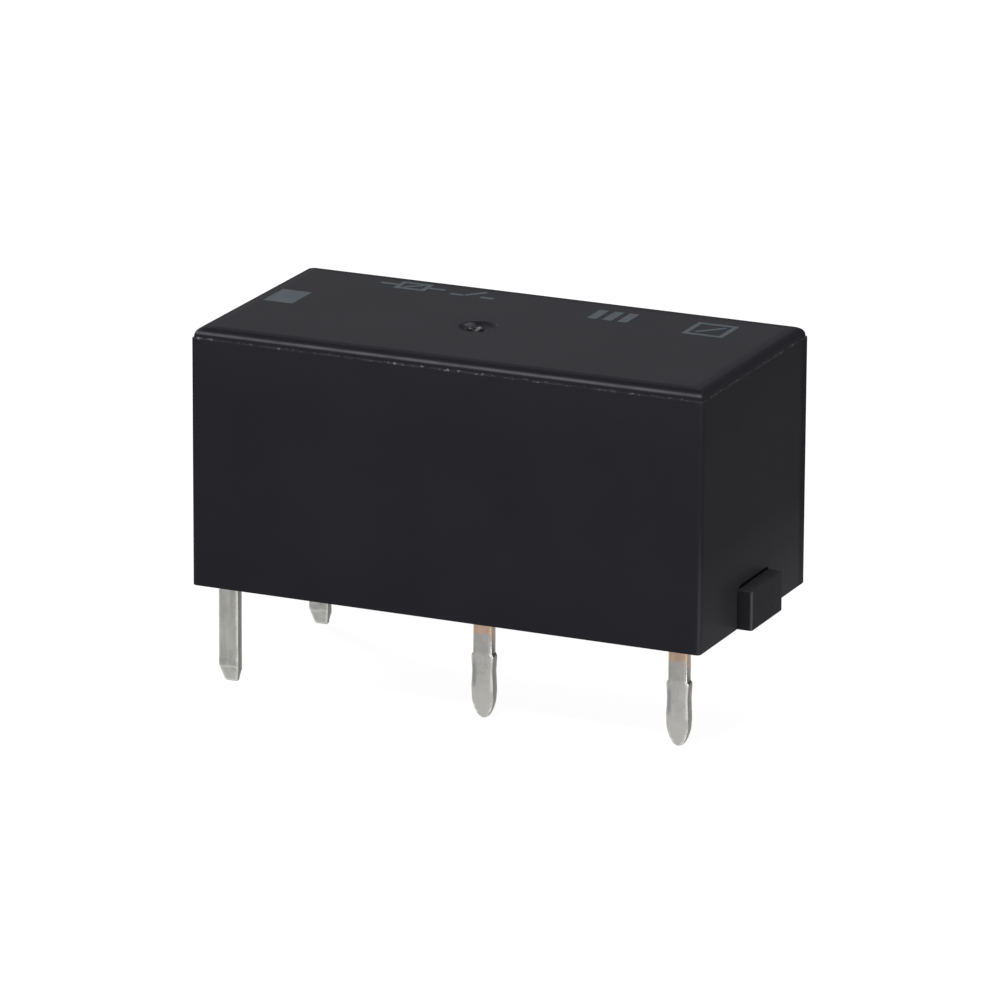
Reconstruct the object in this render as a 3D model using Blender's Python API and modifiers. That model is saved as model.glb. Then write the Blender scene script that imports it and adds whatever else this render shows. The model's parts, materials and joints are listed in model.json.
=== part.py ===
"""Sealed printed-circuit power relay with one normally open contact, on four blade terminals.

The origin is the centre of the seating face on the circuit board. +Z points away from
the board, +X runs from the coil end to the contact end, and +Y points to the row with
one terminal. Sizes are in metres. The relay is modelled at rest, with its contact open.
"""

import math

import bmesh
import bpy
from mathutils import Matrix, Vector

MM = 0.001

# Terminal grid, on a tenth of an inch
COIL_TO_CONTACT = 10.16 * MM
CONTACT_PITCH = 7.62 * MM
ROW_SPACING = 7.62 * MM
COIL_END_MARGIN = 1.0 * MM
CONTACT_END_MARGIN = 1.22 * MM
SIDE_MARGIN = 1.09 * MM

# Terminal blades
TERMINAL_DROP = 3.8 * MM
COIL_BLADE_WIDTH = 0.76 * MM
COIL_BLADE_THICKNESS = 0.38 * MM
COIL_TIP_LENGTH = 0.53 * MM
COIL_TIP_THICKNESS = 0.18 * MM
COIL_TIP_SIDES = ((-0.52, 0.84), (-0.4, 0.72))
WRAP_POST_WIDTH = 0.4 * MM
WRAP_POST_HEIGHT = 3.15 * MM
CONTACT_NECK_WIDTH = 0.73 * MM
CONTACT_SWELL_WIDTH = 0.87 * MM
CONTACT_WAIST_WIDTH = 0.8 * MM
CONTACT_BLADE_THICKNESS = 0.44 * MM
CONTACT_NECK_LENGTH = 1.4 * MM
CONTACT_SHOULDER_DROP = 0.13 * MM
CONTACT_SWELL_FADE = 0.3 * MM
CONTACT_TIP_LENGTH = 0.85 * MM
CONTACT_TIP_THICKNESS = 0.2 * MM
CONTACT_TIP_STATIONS = (0.25, 0.45, 0.65, 0.82, 0.94, 1.0)
CONTACT_TIP_CURVE = (2.0, 0.55)
CONTACT_TIP_BLUNTNESS = 0.03
BLADE_EDGE_RADIUS = 0.05 * MM
BRACKET_THICKNESS = 0.4 * MM
BRACKET_BEND = 0.45 * MM
TIGHT_BEND = 0.12 * MM

# Cover, a thin moulded box that is open below
COVER_WALL = 0.4 * MM
COVER_ROOF = 0.55 * MM
COVER_HEADROOM = 0.6 * MM
CORNER_RADIUS = 0.15 * MM
CROWN_HEIGHT = 0.38 * MM
CROWN_STEP = 0.05 * MM
CROWN_RADIUS = 0.25 * MM
CROWN_CAMBER_RADIUS = 4.0 * MM
CROWN_CAMBER_ANGLE = math.radians(10)
CROWN_CORNER_GROWTH = 0.3
VENT_PLACE = (-0.85 * MM, -0.2 * MM)
VENT_RADIUS = 0.8 * MM
VENT_DEPTH = 0.2 * MM
VENT_NIB_RADIUS = 0.34 * MM
NOTCH_MARGIN = 0.3 * MM
NOTCH_RADIUS = 0.3 * MM
LATCH_DEPTH = 0.18 * MM
LATCH_WIDTH = 2.4 * MM
LATCH_HEIGHT = 0.5 * MM

# Base, the moulding that carries everything
BASE_RECESS = 0.5 * MM
BASE_THICKNESS = 0.75 * MM
ISLAND_LENGTH = 9.0 * MM
ISLAND_WIDTH = 4.4 * MM
ISLAND_RADIUS = 0.8 * MM
TAB_WIDTH = 2.86 * MM
TAB_HEIGHT = 1.43 * MM
TAB_REACH = 0.56 * MM
TAB_RADIUS = 0.1 * MM
TAB_ROOT = 1.2 * MM
SEAL_DEPTH = 0.2 * MM
GUIDE_SIDE_GAP = 0.55 * MM
GUIDE_WIDTH = 1.15 * MM
GUIDE_DEPTH = 0.96 * MM
GUIDE_BELOW_YOKE = 1.35 * MM
SHELF_LENGTH = 1.5 * MM
SHELF_SIDE = 1.1 * MM

# Magnet: yoke, core, bobbin and winding
YOKE_INSET = 0.3 * MM
YOKE_THICKNESS = 0.7 * MM
YOKE_BEND = 0.85 * MM
YOKE_OFFSET = 0.15 * MM
YOKE_BEVEL = (0.1 * MM, 0.3 * MM)
YOKE_FOOT_WIDTH = 1.2 * MM
YOKE_FOOT_SPACING = 3.4 * MM
YOKE_FOOT_DEPTH = 0.45 * MM
CORE_RADIUS = 1.2 * MM
CORE_SPIGOT_RADIUS = 0.8 * MM
CORE_RIVET_HEIGHT = 0.2 * MM
CORE_RIVET_RADIUS = 1.1 * MM
POLE_RADIUS = 1.9 * MM
POLE_THICKNESS = 0.43 * MM
POLE_CHAMFER = 0.1 * MM
FLANGE_OVER_WINDING = 0.43 * MM
FLANGE_TO_TERMINAL = 0.42 * MM
FLANGE_THICKNESS = 0.65 * MM
FLANGE_RADIUS = 0.4 * MM
BOBBIN_TUBE_WALL = 0.4 * MM
WINDING_DEPTH = 1.12 * MM
WINDING_TURNS = 14
WIRE_GROOVE = 0.06 * MM
TAPE_THICKNESS = 0.08 * MM
TAPE_MARGIN = 0.45 * MM
LEAD_RADIUS = 0.06 * MM
LEAD_WRAP_TURNS = 3
LEAD_WRAP_PITCH = 0.16 * MM
LEAD_WRAP_SHARE = 0.8
LEAD_WRAP_ANGLE = math.radians(35)
LEAD_EXIT_DROP = 0.3 * MM
LEAD_ENTRY_RISE = 0.25 * MM

# Armature and its hinge spring
OPENING_ANGLE = math.radians(4.5)
ARMATURE_THICKNESS = 0.7 * MM
ARMATURE_WIDTH = 4.8 * MM
ARMATURE_BELOW_POLE = 0.05 * MM
ARMATURE_OVERHANG = 0.2 * MM
ARMATURE_ARM_WIDTH = 3.6 * MM
ARMATURE_BEND = 0.28 * MM
ARMATURE_NOSE = 0.2 * MM
ARMATURE_RIVET_REACH = 2.0 * MM
CARD_LEVER = 3.3 * MM
HINGE_SPRING_THICKNESS = 0.1 * MM
HINGE_SPRING_WIDTH = 3.0 * MM
HINGE_SPRING_ON_YOKE = 5.2 * MM
HINGE_SPRING_END = 0.6 * MM
HINGE_SPRING_BEND_START = 0.5 * MM
HINGE_SPRING_BEND_MIDDLE = (0.1 * MM, 0.006 * MM)
HINGE_SPRING_BEND_END = 0.35 * MM
HINGE_WINDOW_WIDTH = 1.5 * MM
HINGE_WINDOW_LENGTH = 2.2 * MM
RIVET_SPACING = 1.8 * MM
RIVET_INSET = 0.8 * MM
RIVET_RADIUS = 0.25 * MM
RIVET_HEAD_RADIUS = 0.48 * MM
RIVET_HEAD_HEIGHT = 0.16 * MM
RIVET_DEPTH_SHARE = 0.9

# Card that passes the armature's stroke to the contact spring
CARD_WIDTH = 4.4 * MM
CARD_THICKNESS = 0.7 * MM
CARD_TONGUE_THICKNESS = 0.4 * MM
CARD_TONGUE_GRIP = 0.4 * MM
CARD_SHOULDER = 0.6 * MM
CARD_FOOT_WIDTH = 1.6 * MM
CARD_NOSE_WIDTH = 2.4 * MM
CARD_WINDOW = (1.6 * MM, 1.5 * MM)

# Contacts
CONTACT_OVERHANG = 1.2 * MM
SPRING_FREE_LENGTH = 2.55 * MM
CONTACT_GAP = 0.47 * MM
CONTACT_RADIUS = 0.6 * MM
CONTACT_HEAD_HEIGHT = 0.3 * MM
CONTACT_DOME = 0.13 * MM
CONTACT_SHANK_RADIUS = 0.3 * MM
CONTACT_TAIL_RADIUS = 0.42 * MM
CONTACT_TAIL_HEIGHT = 0.14 * MM
CONTACT_SPRING_THICKNESS = 0.12 * MM
CONTACT_SPRING_WIDTH = 2.2 * MM
CONTACT_SPRING_TIP_WIDTH = 1.5 * MM
STRIP_TO_FLANGE = 0.11 * MM
BRACKET_SIDE = 0.95 * MM
BRACKET_LENGTH = 1.3 * MM
ANCHOR_OFFSET = 0.18 * MM

# Clearances
FIT_GAP = 0.05 * MM
SLIDE_GAP = 0.04 * MM
TOUCH_GAP = 0.03 * MM
AIR_GAP = 0.02 * MM
HOLE_GAP = 0.04 * MM
CARD_GAP = 0.06 * MM
CUT_OVERRUN = 0.5 * MM
OVERLAP = 0.15 * MM
WELD_DISTANCE = 1e-7

# Places along the relay that follow from the sizes above
LENGTH = COIL_END_MARGIN + COIL_TO_CONTACT + CONTACT_PITCH + CONTACT_END_MARGIN
WIDTH = ROW_SPACING + 2 * SIDE_MARGIN
END_X = LENGTH / 2
SIDE_Y = WIDTH / 2
INNER_X = END_X - COVER_WALL
INNER_Y = SIDE_Y - COVER_WALL
ROW_Y = ROW_SPACING / 2
COIL_X = COIL_END_MARGIN - END_X
FIXED_TERMINAL_X = COIL_X + COIL_TO_CONTACT
MOVING_TERMINAL_X = FIXED_TERMINAL_X + CONTACT_PITCH
ANCHOR_X = MOVING_TERMINAL_X - ANCHOR_OFFSET
CARD_X = ANCHOR_X - BRACKET_LENGTH / 2 - SPRING_FREE_LENGTH
CONTACT_X = CARD_X - CONTACT_OVERHANG
YOKE_START_X = COIL_X - YOKE_OFFSET
YOKE_END_X = CARD_X - CARD_LEVER
BOBBIN_START_X = YOKE_START_X + YOKE_THICKNESS + FIT_GAP
POLE_X = YOKE_END_X
BOBBIN_END_X = POLE_X - POLE_THICKNESS - FIT_GAP

# Widths and reaches that follow from the sizes above
FLANGE_WIDTH = ROW_SPACING - COIL_BLADE_THICKNESS - 2 * FLANGE_TO_TERMINAL
YOKE_WIDTH = FLANGE_WIDTH - 2 * YOKE_INSET
GUIDE_Y = CARD_WIDTH / 2 + GUIDE_SIDE_GAP
CARD_TONGUE_Y = GUIDE_Y + CARD_TONGUE_GRIP
ARMATURE_REACH = CARD_LEVER + CARD_THICKNESS / 2 + ARMATURE_OVERHANG
HINGE_SPRING_ON_ARMATURE = ARMATURE_RIVET_REACH + HINGE_SPRING_END

# Radii and heights that follow from the sizes above
BORE_RADIUS = CORE_RADIUS + FIT_GAP
TUBE_RADIUS = BORE_RADIUS + BOBBIN_TUBE_WALL
WINDING_INNER_RADIUS = TUBE_RADIUS + FIT_GAP
WINDING_RADIUS = WINDING_INNER_RADIUS + WINDING_DEPTH
FLANGE_HEIGHT = 2 * (WINDING_RADIUS + FLANGE_OVER_WINDING)
FLOOR_Z = BASE_RECESS + BASE_THICKNESS
FLANGE_Z = FLOOR_Z + FIT_GAP
CORE_Z = FLANGE_Z + FLANGE_HEIGHT / 2
YOKE_UNDER_Z = FLANGE_Z + FLANGE_HEIGHT + FIT_GAP
YOKE_TOP_Z = YOKE_UNDER_Z + YOKE_THICKNESS
ROOF_Z = YOKE_TOP_Z + COVER_HEADROOM
HEIGHT = ROOF_Z + COVER_ROOF
GUIDE_TOP_Z = YOKE_TOP_Z - GUIDE_BELOW_YOKE
PIVOT = Vector((YOKE_END_X, 0, YOKE_TOP_Z - YOKE_BEVEL[1]))
ARMATURE_DROP = PIVOT.z - CORE_Z + POLE_RADIUS + ARMATURE_BELOW_POLE
OPENED = Matrix.Translation(PIVOT) @ Matrix.Rotation(-OPENING_ANGLE, 4, "Y")
STRIP_Z = FLOOR_Z + FIT_GAP
FIXED_FACE_Z = STRIP_Z + BRACKET_THICKNESS + AIR_GAP + CONTACT_HEAD_HEIGHT
MOVING_FACE_Z = FIXED_FACE_Z + CONTACT_GAP
SPRING_Z = MOVING_FACE_Z + CONTACT_HEAD_HEIGHT + AIR_GAP
SPRING_TOP_Z = SPRING_Z + CONTACT_SPRING_THICKNESS
BRACKET_TOP_Z = SPRING_Z - TOUCH_GAP
SHELF_Z = BRACKET_TOP_Z - BRACKET_THICKNESS - TOUCH_GAP
CARD_FOOT_Z = SPRING_TOP_Z + TOUCH_GAP

ROUND_STEPS = 24
SMALL_ROUND_STEPS = 16
CROWN_EDGE_STEPS = 4
CROWN_CAMBER_STEPS = 3
LEAD_STEPS = 10
SHARP_ANGLE = math.radians(35)
FLAT_ANGLE = math.radians(0.1)


# Scene and materials
def clear_scene():
    for item in list(bpy.data.objects):
        bpy.data.objects.remove(item, do_unlink=True)


def new_collection(name):
    collection = bpy.data.collections.new(name)
    bpy.context.scene.collection.children.link(collection)
    return collection


def new_material(name, colour, roughness, metallic=0.0):
    material = bpy.data.materials.new(name)
    material.use_nodes = True
    shader = material.node_tree.nodes["Principled BSDF"]
    shader.inputs["Base Color"].default_value = (*colour, 1.0)
    shader.inputs["Roughness"].default_value = roughness
    shader.inputs["Metallic"].default_value = metallic
    return material


clear_scene()
RELAY = new_collection("pcb_power_relay")
CUTTERS = new_collection("cutters")

COVER_BLACK = new_material("cover_black", (0.020, 0.020, 0.023), 0.42)
BASE_BLACK = new_material("base_black", (0.018, 0.018, 0.020), 0.5)
RESIN = new_material("sealing_resin", (0.035, 0.033, 0.030), 0.25)
BOBBIN_WHITE = new_material("bobbin_nylon", (0.72, 0.70, 0.64), 0.5)
ENAMEL = new_material("enamelled_copper", (0.55, 0.22, 0.09), 0.3, 0.9)
TAPE = new_material("polyester_tape", (0.62, 0.50, 0.12), 0.35)
IRON = new_material("plated_iron", (0.62, 0.61, 0.58), 0.32, 1.0)
TINNED = new_material("tinned_copper", (0.60, 0.60, 0.57), 0.38, 1.0)
COPPER = new_material("copper_alloy", (0.72, 0.42, 0.28), 0.35, 1.0)
SPRING = new_material("spring_bronze", (0.70, 0.50, 0.30), 0.3, 1.0)
SILVER = new_material("silver_contact", (0.86, 0.85, 0.82), 0.25, 1.0)
CARD = new_material("card_plastic", (0.75, 0.74, 0.70), 0.5)


# Building blocks
def new_object(name, mesh, material=None):
    """Put a mesh in the relay's collection, at the origin of the frame."""
    item = bpy.data.objects.new(name, mesh)
    RELAY.objects.link(item)
    if material:
        mesh.materials.append(material)
    return item


def mesh_from(bm, name):
    mesh = bpy.data.meshes.new(name)
    bmesh.ops.recalc_face_normals(bm, faces=bm.faces)
    bm.to_mesh(mesh)
    bm.free()
    return mesh


def box(name, low, high, material=None):
    """A cube stretched between two opposite corners."""
    low, high = Vector(low), Vector(high)
    bm = bmesh.new()
    bmesh.ops.create_cube(bm, size=1.0)
    bmesh.ops.scale(bm, vec=high - low, verts=bm.verts)
    item = new_object(name, mesh_from(bm, name), material)
    item.location = (low + high) / 2
    return item


def arc(centre, radius, start, stop, steps):
    """Points on a circle from one angle to another, in degrees."""
    angles = [math.radians(start + (stop - start) * i / steps) for i in range(steps + 1)]
    return [(centre[0] + radius * math.cos(a), centre[1] + radius * math.sin(a)) for a in angles]


def round_rectangle(low, high, radius, steps=3):
    """The outline of a rectangle with round corners, anticlockwise."""
    (x0, y0), (x1, y1) = low, high
    return (
        arc((x1 - radius, y0 + radius), radius, -90, 0, steps)
        + arc((x1 - radius, y1 - radius), radius, 0, 90, steps)
        + arc((x0 + radius, y1 - radius), radius, 90, 180, steps)
        + arc((x0 + radius, y0 + radius), radius, 180, 270, steps)
    )


def loft(name, rings, material=None):
    """Skin a row of rings that have the same number of points, and close both ends."""
    bm = bmesh.new()
    loops = [[bm.verts.new(point) for point in ring] for ring in rings]
    for upper, lower in zip(loops, loops[1:]):
        for i in range(len(upper)):
            j = (i + 1) % len(upper)
            bm.faces.new((upper[i], upper[j], lower[j], lower[i]))
    bm.faces.new(loops[0])
    bm.faces.new(reversed(loops[-1]))
    return new_object(name, mesh_from(bm, name), material)


# How a flat outline is turned: its own X and Y axes, then the way its thickness runs
LYING = Matrix.Identity(4)
FACING_SIDE = Matrix(((1, 0, 0, 0), (0, 0, -1, 0), (0, 1, 0, 0), (0, 0, 0, 1)))
FACING_END = Matrix(((0, 0, 1, 0), (1, 0, 0, 0), (0, 1, 0, 0), (0, 0, 0, 1)))


def plate(name, outline, thickness, facing, middle=(0, 0, 0), material=None):
    """A flat outline with a thickness, made as a filled 2D curve and kept as a mesh."""
    curve = bpy.data.curves.new(name, "CURVE")
    curve.dimensions = "2D"
    curve.fill_mode = "BOTH"
    curve.extrude = thickness / 2 / MM
    spline = curve.splines.new("POLY")
    spline.points.add(len(outline) - 1)
    for point, (x, y) in zip(spline.points, outline):
        point.co = (x / MM, y / MM, 0, 1)
    spline.use_cyclic_u = True
    guide = bpy.data.objects.new(name, curve)
    RELAY.objects.link(guide)
    depsgraph = bpy.context.evaluated_depsgraph_get()
    mesh = bpy.data.meshes.new_from_object(guide.evaluated_get(depsgraph))
    bpy.data.objects.remove(guide, do_unlink=True)
    bm = bmesh.new()
    bm.from_mesh(mesh)
    bmesh.ops.scale(bm, vec=(MM, MM, MM), verts=bm.verts)
    bmesh.ops.remove_doubles(bm, verts=bm.verts, dist=WELD_DISTANCE)
    bmesh.ops.dissolve_limit(bm, angle_limit=FLAT_ANGLE, verts=bm.verts, edges=bm.edges)
    item = new_object(name, mesh_from(bm, name), material)
    item.matrix_world = Matrix.Translation(middle) @ facing
    return item


def turned(name, profile, steps, material=None, ring=False):
    """A profile of (radius, height) points, top to bottom, turned about the Z axis."""
    bm = bmesh.new()
    points = [bm.verts.new((radius, 0, height)) for radius, height in profile]
    for upper, lower in zip(points, points[1:]):
        bm.edges.new((upper, lower))
    if ring:
        bm.edges.new((points[-1], points[0]))
    mesh = bpy.data.meshes.new(name)
    bm.to_mesh(mesh)
    bm.free()
    item = new_object(name, mesh, material)
    screw = item.modifiers.new("turn", "SCREW")
    screw.axis = "Z"
    screw.steps = steps
    screw.render_steps = steps
    screw.use_merge_vertices = True
    screw.merge_threshold = WELD_DISTANCE
    screw.use_smooth_shade = True
    return item


def along_x(item, place):
    """Lay a turned piece along the relay, its top towards the contact end."""
    item.matrix_world = Matrix.Translation(place) @ Matrix.Rotation(math.pi / 2, 4, "Y")
    return item


def hide_tool(item):
    """Keep a cutter or a joined-in shape out of the model."""
    RELAY.objects.unlink(item)
    CUTTERS.objects.link(item)
    item.hide_render = True
    item.display_type = "WIRE"


def combine(item, other, operation):
    boolean = item.modifiers.new(other.name, "BOOLEAN")
    boolean.operation = operation
    boolean.solver = "EXACT"
    boolean.object = other
    hide_tool(other)


def cut(item, *cutters):
    for cutter in cutters:
        combine(item, cutter, "DIFFERENCE")


def join(item, *others):
    for other in others:
        combine(item, other, "UNION")


def hole(name, place, radius, length, facing=LYING):
    """A round cutter, centred on its place."""
    bm = bmesh.new()
    bmesh.ops.create_cone(
        bm, cap_ends=True, segments=SMALL_ROUND_STEPS, radius1=radius, radius2=radius, depth=length
    )
    item = new_object(name, mesh_from(bm, name))
    item.matrix_world = Matrix.Translation(place) @ facing
    return item


def round_edges(item, radius, segments=2, pick=None):
    """Bevel the picked edges of a box, or every sharp edge."""
    bevel = item.modifiers.new("rounding", "BEVEL")
    bevel.width = radius
    bevel.segments = segments
    bevel.use_clamp_overlap = True
    if pick is None:
        bevel.limit_method = "ANGLE"
        bevel.angle_limit = SHARP_ANGLE
        return
    bevel.limit_method = "WEIGHT"
    mesh = item.data
    weights = mesh.attributes.new("bevel_weight_edge", "FLOAT", "EDGE")
    for edge in mesh.edges:
        first, second = (mesh.vertices[index].co for index in edge.vertices)
        weights.data[edge.index].value = pick(first, second)


def upright(first, second):
    """1 for an edge that stands upright, 0 for any other."""
    return float(abs(first.z - second.z) > OVERLAP)


def smooth(item, angle=30):
    item.data.shade_smooth()
    item.data.set_sharp_from_angle(angle=math.radians(angle))


# Cover
def make_cover():
    """A block with a slightly narrower crown, rounded, then hollowed from below."""
    body_top = HEIGHT - CROWN_HEIGHT
    cover = box("cover", (-END_X, -SIDE_Y, 0), (END_X, SIDE_Y, body_top), COVER_BLACK)
    round_edges(cover, CORNER_RADIUS, 3, upright)
    rings = []
    for inset, height in crown_profile(body_top - OVERLAP):
        radius = CORNER_RADIUS + CROWN_CORNER_GROWTH * (inset - CROWN_STEP)
        outline = round_rectangle((inset - END_X, inset - SIDE_Y), (END_X - inset, SIDE_Y - inset), radius)
        rings.append([(x, y, height) for x, y in outline])
    join(cover, loft("crown", rings))

    cavity = box(
        "cover_cavity", (-INNER_X, -INNER_Y, -CUT_OVERRUN), (INNER_X, INNER_Y, ROOF_Z)
    )
    round_edges(cavity, 2 * CORNER_RADIUS, segments=2)
    notch = plate(
        "cover_notch",
        notch_outline(),
        2 * COVER_WALL,
        FACING_END,
        (END_X - COVER_WALL / 2, 0, 0),
    )
    pocket = box(
        "latch_pocket",
        (-INNER_X - LATCH_DEPTH - FIT_GAP, -LATCH_WIDTH / 2 - FIT_GAP, FLOOR_Z - LATCH_HEIGHT - FIT_GAP),
        (-INNER_X + OVERLAP, LATCH_WIDTH / 2 + FIT_GAP, FLOOR_Z + FIT_GAP),
    )
    cut(cover, cavity, notch, pocket, vent_cutter())
    smooth(cover)
    return cover


def crown_profile(start):
    """Inset from the cover's sides and height: up the side, round the edge and over a slight camber."""
    turn = CROWN_CAMBER_ANGLE
    camber_top = HEIGHT - CROWN_CAMBER_RADIUS
    edge_middle = camber_top + (CROWN_CAMBER_RADIUS - CROWN_RADIUS) * math.cos(turn)
    camber_inset = CROWN_STEP + CROWN_RADIUS + (CROWN_CAMBER_RADIUS - CROWN_RADIUS) * math.sin(turn)
    profile = [(CROWN_STEP, start)]
    for step in range(CROWN_EDGE_STEPS + 1):
        tilt = math.pi / 2 + (turn - math.pi / 2) * step / CROWN_EDGE_STEPS
        inset = CROWN_STEP + CROWN_RADIUS * (1 - math.sin(tilt))
        profile.append((inset, edge_middle + CROWN_RADIUS * math.cos(tilt)))
    for step in range(1, CROWN_CAMBER_STEPS + 1):
        tilt = turn * (1 - step / CROWN_CAMBER_STEPS)
        inset = camber_inset - CROWN_CAMBER_RADIUS * math.sin(tilt)
        profile.append((inset, camber_top + CROWN_CAMBER_RADIUS * math.cos(tilt)))
    return profile


def notch_outline():
    """The opening for the base's tab, with round upper corners."""
    half = TAB_WIDTH / 2 + NOTCH_MARGIN
    top = TAB_HEIGHT + NOTCH_MARGIN
    return (
        [(half, -CUT_OVERRUN)]
        + arc((half - NOTCH_RADIUS, top - NOTCH_RADIUS), NOTCH_RADIUS, 0, 90, 4)
        + arc((NOTCH_RADIUS - half, top - NOTCH_RADIUS), NOTCH_RADIUS, 90, 180, 4)
        + [(-half, -CUT_OVERRUN)]
    )


def vent_cutter():
    """The dish round the sealed vent, which leaves a low nib standing in its middle."""
    dish_floor = -VENT_DEPTH
    nib_top = -0.15 * VENT_DEPTH
    cutter = turned(
        "vent_dish",
        [
            (0, CUT_OVERRUN),
            (VENT_RADIUS, CUT_OVERRUN),
            (VENT_RADIUS, 0.4 * dish_floor),
            (VENT_RADIUS - 0.3 * VENT_DEPTH, 0.8 * dish_floor),
            (VENT_RADIUS - 1.1 * VENT_DEPTH, dish_floor),
            (VENT_NIB_RADIUS + 0.5 * VENT_DEPTH, dish_floor),
            (VENT_NIB_RADIUS, 0.75 * dish_floor),
            (0.85 * VENT_NIB_RADIUS, nib_top),
            (0, 0.5 * nib_top),
        ],
        ROUND_STEPS,
    )
    cutter.location = (*VENT_PLACE, HEIGHT)
    return cutter


# Base
def make_base():
    """The floor plate with its seating island, tab, card guides and bracket shelf."""
    edge_x = INNER_X - FIT_GAP
    edge_y = INNER_Y - FIT_GAP
    base = box("base", (-edge_x, -edge_y, BASE_RECESS), (edge_x, edge_y, FLOOR_Z), BASE_BLACK)
    round_edges(base, 2 * CORNER_RADIUS, 2, upright)

    island = plate(
        "seating_island",
        round_rectangle(
            (-ISLAND_LENGTH / 2, -ISLAND_WIDTH / 2),
            (ISLAND_LENGTH / 2, ISLAND_WIDTH / 2),
            ISLAND_RADIUS,
        ),
        BASE_RECESS + OVERLAP,
        LYING,
        (0, 0, (BASE_RECESS + OVERLAP) / 2),
    )
    tab = box(
        "orientation_tab",
        (edge_x - TAB_ROOT, -TAB_WIDTH / 2, 0),
        (END_X + TAB_REACH, TAB_WIDTH / 2, TAB_HEIGHT),
    )
    round_edges(tab, TAB_RADIUS, 3, lambda first, second: float(min(first.x, second.x) > 0))
    latch = box(
        "latch_bump",
        (-INNER_X - LATCH_DEPTH, -LATCH_WIDTH / 2, FLOOR_Z - LATCH_HEIGHT),
        (-edge_x + OVERLAP, LATCH_WIDTH / 2, FLOOR_Z - 2 * FIT_GAP),
    )
    shelf = box(
        "bracket_shelf",
        (ANCHOR_X - SHELF_LENGTH / 2, -ROW_Y + CONTACT_BLADE_THICKNESS, FLOOR_Z - OVERLAP),
        (ANCHOR_X + SHELF_LENGTH / 2, SHELF_SIDE, SHELF_Z),
    )
    join(base, island, tab, latch, shelf, *[card_guide(side) for side in (-1, 1)])
    cut(base, *terminal_slots(), *[foot_slot(side) for side in (-1, 1)])
    return base


def card_guide(side):
    """An upright post with a groove that holds one edge of the card."""
    inner = side * GUIDE_Y
    outer = side * (GUIDE_Y + GUIDE_WIDTH)
    post = box(
        f"card_guide_{side}",
        (CARD_X - GUIDE_DEPTH / 2, min(inner, outer), FLOOR_Z - OVERLAP),
        (CARD_X + GUIDE_DEPTH / 2, max(inner, outer), GUIDE_TOP_Z),
    )
    groove_half = CARD_TONGUE_THICKNESS / 2 + SLIDE_GAP
    reach = side * (CARD_TONGUE_Y + 2 * FIT_GAP)
    groove = box(
        f"card_groove_{side}",
        (CARD_X - groove_half, min(inner - side * OVERLAP, reach), FLOOR_Z + CARD_SHOULDER),
        (CARD_X + groove_half, max(inner - side * OVERLAP, reach), GUIDE_TOP_Z + CUT_OVERRUN),
    )
    cut(post, groove)
    return post


def terminal_slots():
    """Slots through the floor, one for each terminal."""
    slots = []
    places = (
        ("coil_front", COIL_X, -ROW_Y, COIL_BLADE_WIDTH, COIL_BLADE_THICKNESS),
        ("coil_rear", COIL_X, ROW_Y, COIL_BLADE_WIDTH, COIL_BLADE_THICKNESS),
        ("fixed", FIXED_TERMINAL_X, -ROW_Y, CONTACT_NECK_WIDTH, CONTACT_BLADE_THICKNESS),
        ("moving", MOVING_TERMINAL_X, -ROW_Y, CONTACT_NECK_WIDTH, CONTACT_BLADE_THICKNESS),
    )
    for name, x, y, width, thickness in places:
        half = Vector((width / 2 + HOLE_GAP, thickness / 2 + HOLE_GAP, 0))
        low = Vector((x, y, -CUT_OVERRUN)) - half
        high = Vector((x, y, FLOOR_Z + CUT_OVERRUN)) + half
        slots.append(box(f"slot_{name}", low, high))
    return slots


def foot_slot(side):
    """A pocket in the floor for one foot of the yoke."""
    y = side * YOKE_FOOT_SPACING / 2
    half = YOKE_FOOT_WIDTH / 2 + FIT_GAP
    return box(
        f"foot_slot_{side}",
        (YOKE_START_X - FIT_GAP, y - half, FLOOR_Z - YOKE_FOOT_DEPTH - FIT_GAP),
        (YOKE_START_X + YOKE_THICKNESS + FIT_GAP, y + half, FLOOR_Z + CUT_OVERRUN),
    )


def make_seal():
    """The cured resin in the moat between the island and the cover."""
    seal = box(
        "epoxy_seal",
        (FIT_GAP - INNER_X, FIT_GAP - INNER_Y, SEAL_DEPTH),
        (INNER_X - FIT_GAP, INNER_Y - FIT_GAP, BASE_RECESS - FIT_GAP),
        RESIN,
    )
    round_edges(seal, 2 * CORNER_RADIUS, 2, upright)
    island_room = plate(
        "island_room",
        round_rectangle(
            (-ISLAND_LENGTH / 2 - FIT_GAP, -ISLAND_WIDTH / 2 - FIT_GAP),
            (ISLAND_LENGTH / 2 + FIT_GAP, ISLAND_WIDTH / 2 + FIT_GAP),
            ISLAND_RADIUS + FIT_GAP,
        ),
        2 * BASE_RECESS,
        LYING,
        (0, 0, BASE_RECESS / 2),
    )
    tab_room = box(
        "tab_room",
        (INNER_X - FIT_GAP - TAB_ROOT - FIT_GAP, -TAB_WIDTH / 2 - FIT_GAP, -CUT_OVERRUN),
        (INNER_X + CUT_OVERRUN, TAB_WIDTH / 2 + FIT_GAP, FLOOR_Z),
    )
    cut(seal, island_room, tab_room, *terminal_slots())
    return seal


# Terminals
def blade_ring(left, right, thickness, height):
    """One cross-section of a blade: a rectangle with small round corners."""
    radius = min(BLADE_EDGE_RADIUS, 0.4 * (right - left), 0.4 * thickness)
    outline = round_rectangle((left, -thickness / 2), (right, thickness / 2), radius, 2)
    return [(x, y, height) for x, y in outline]


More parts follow.
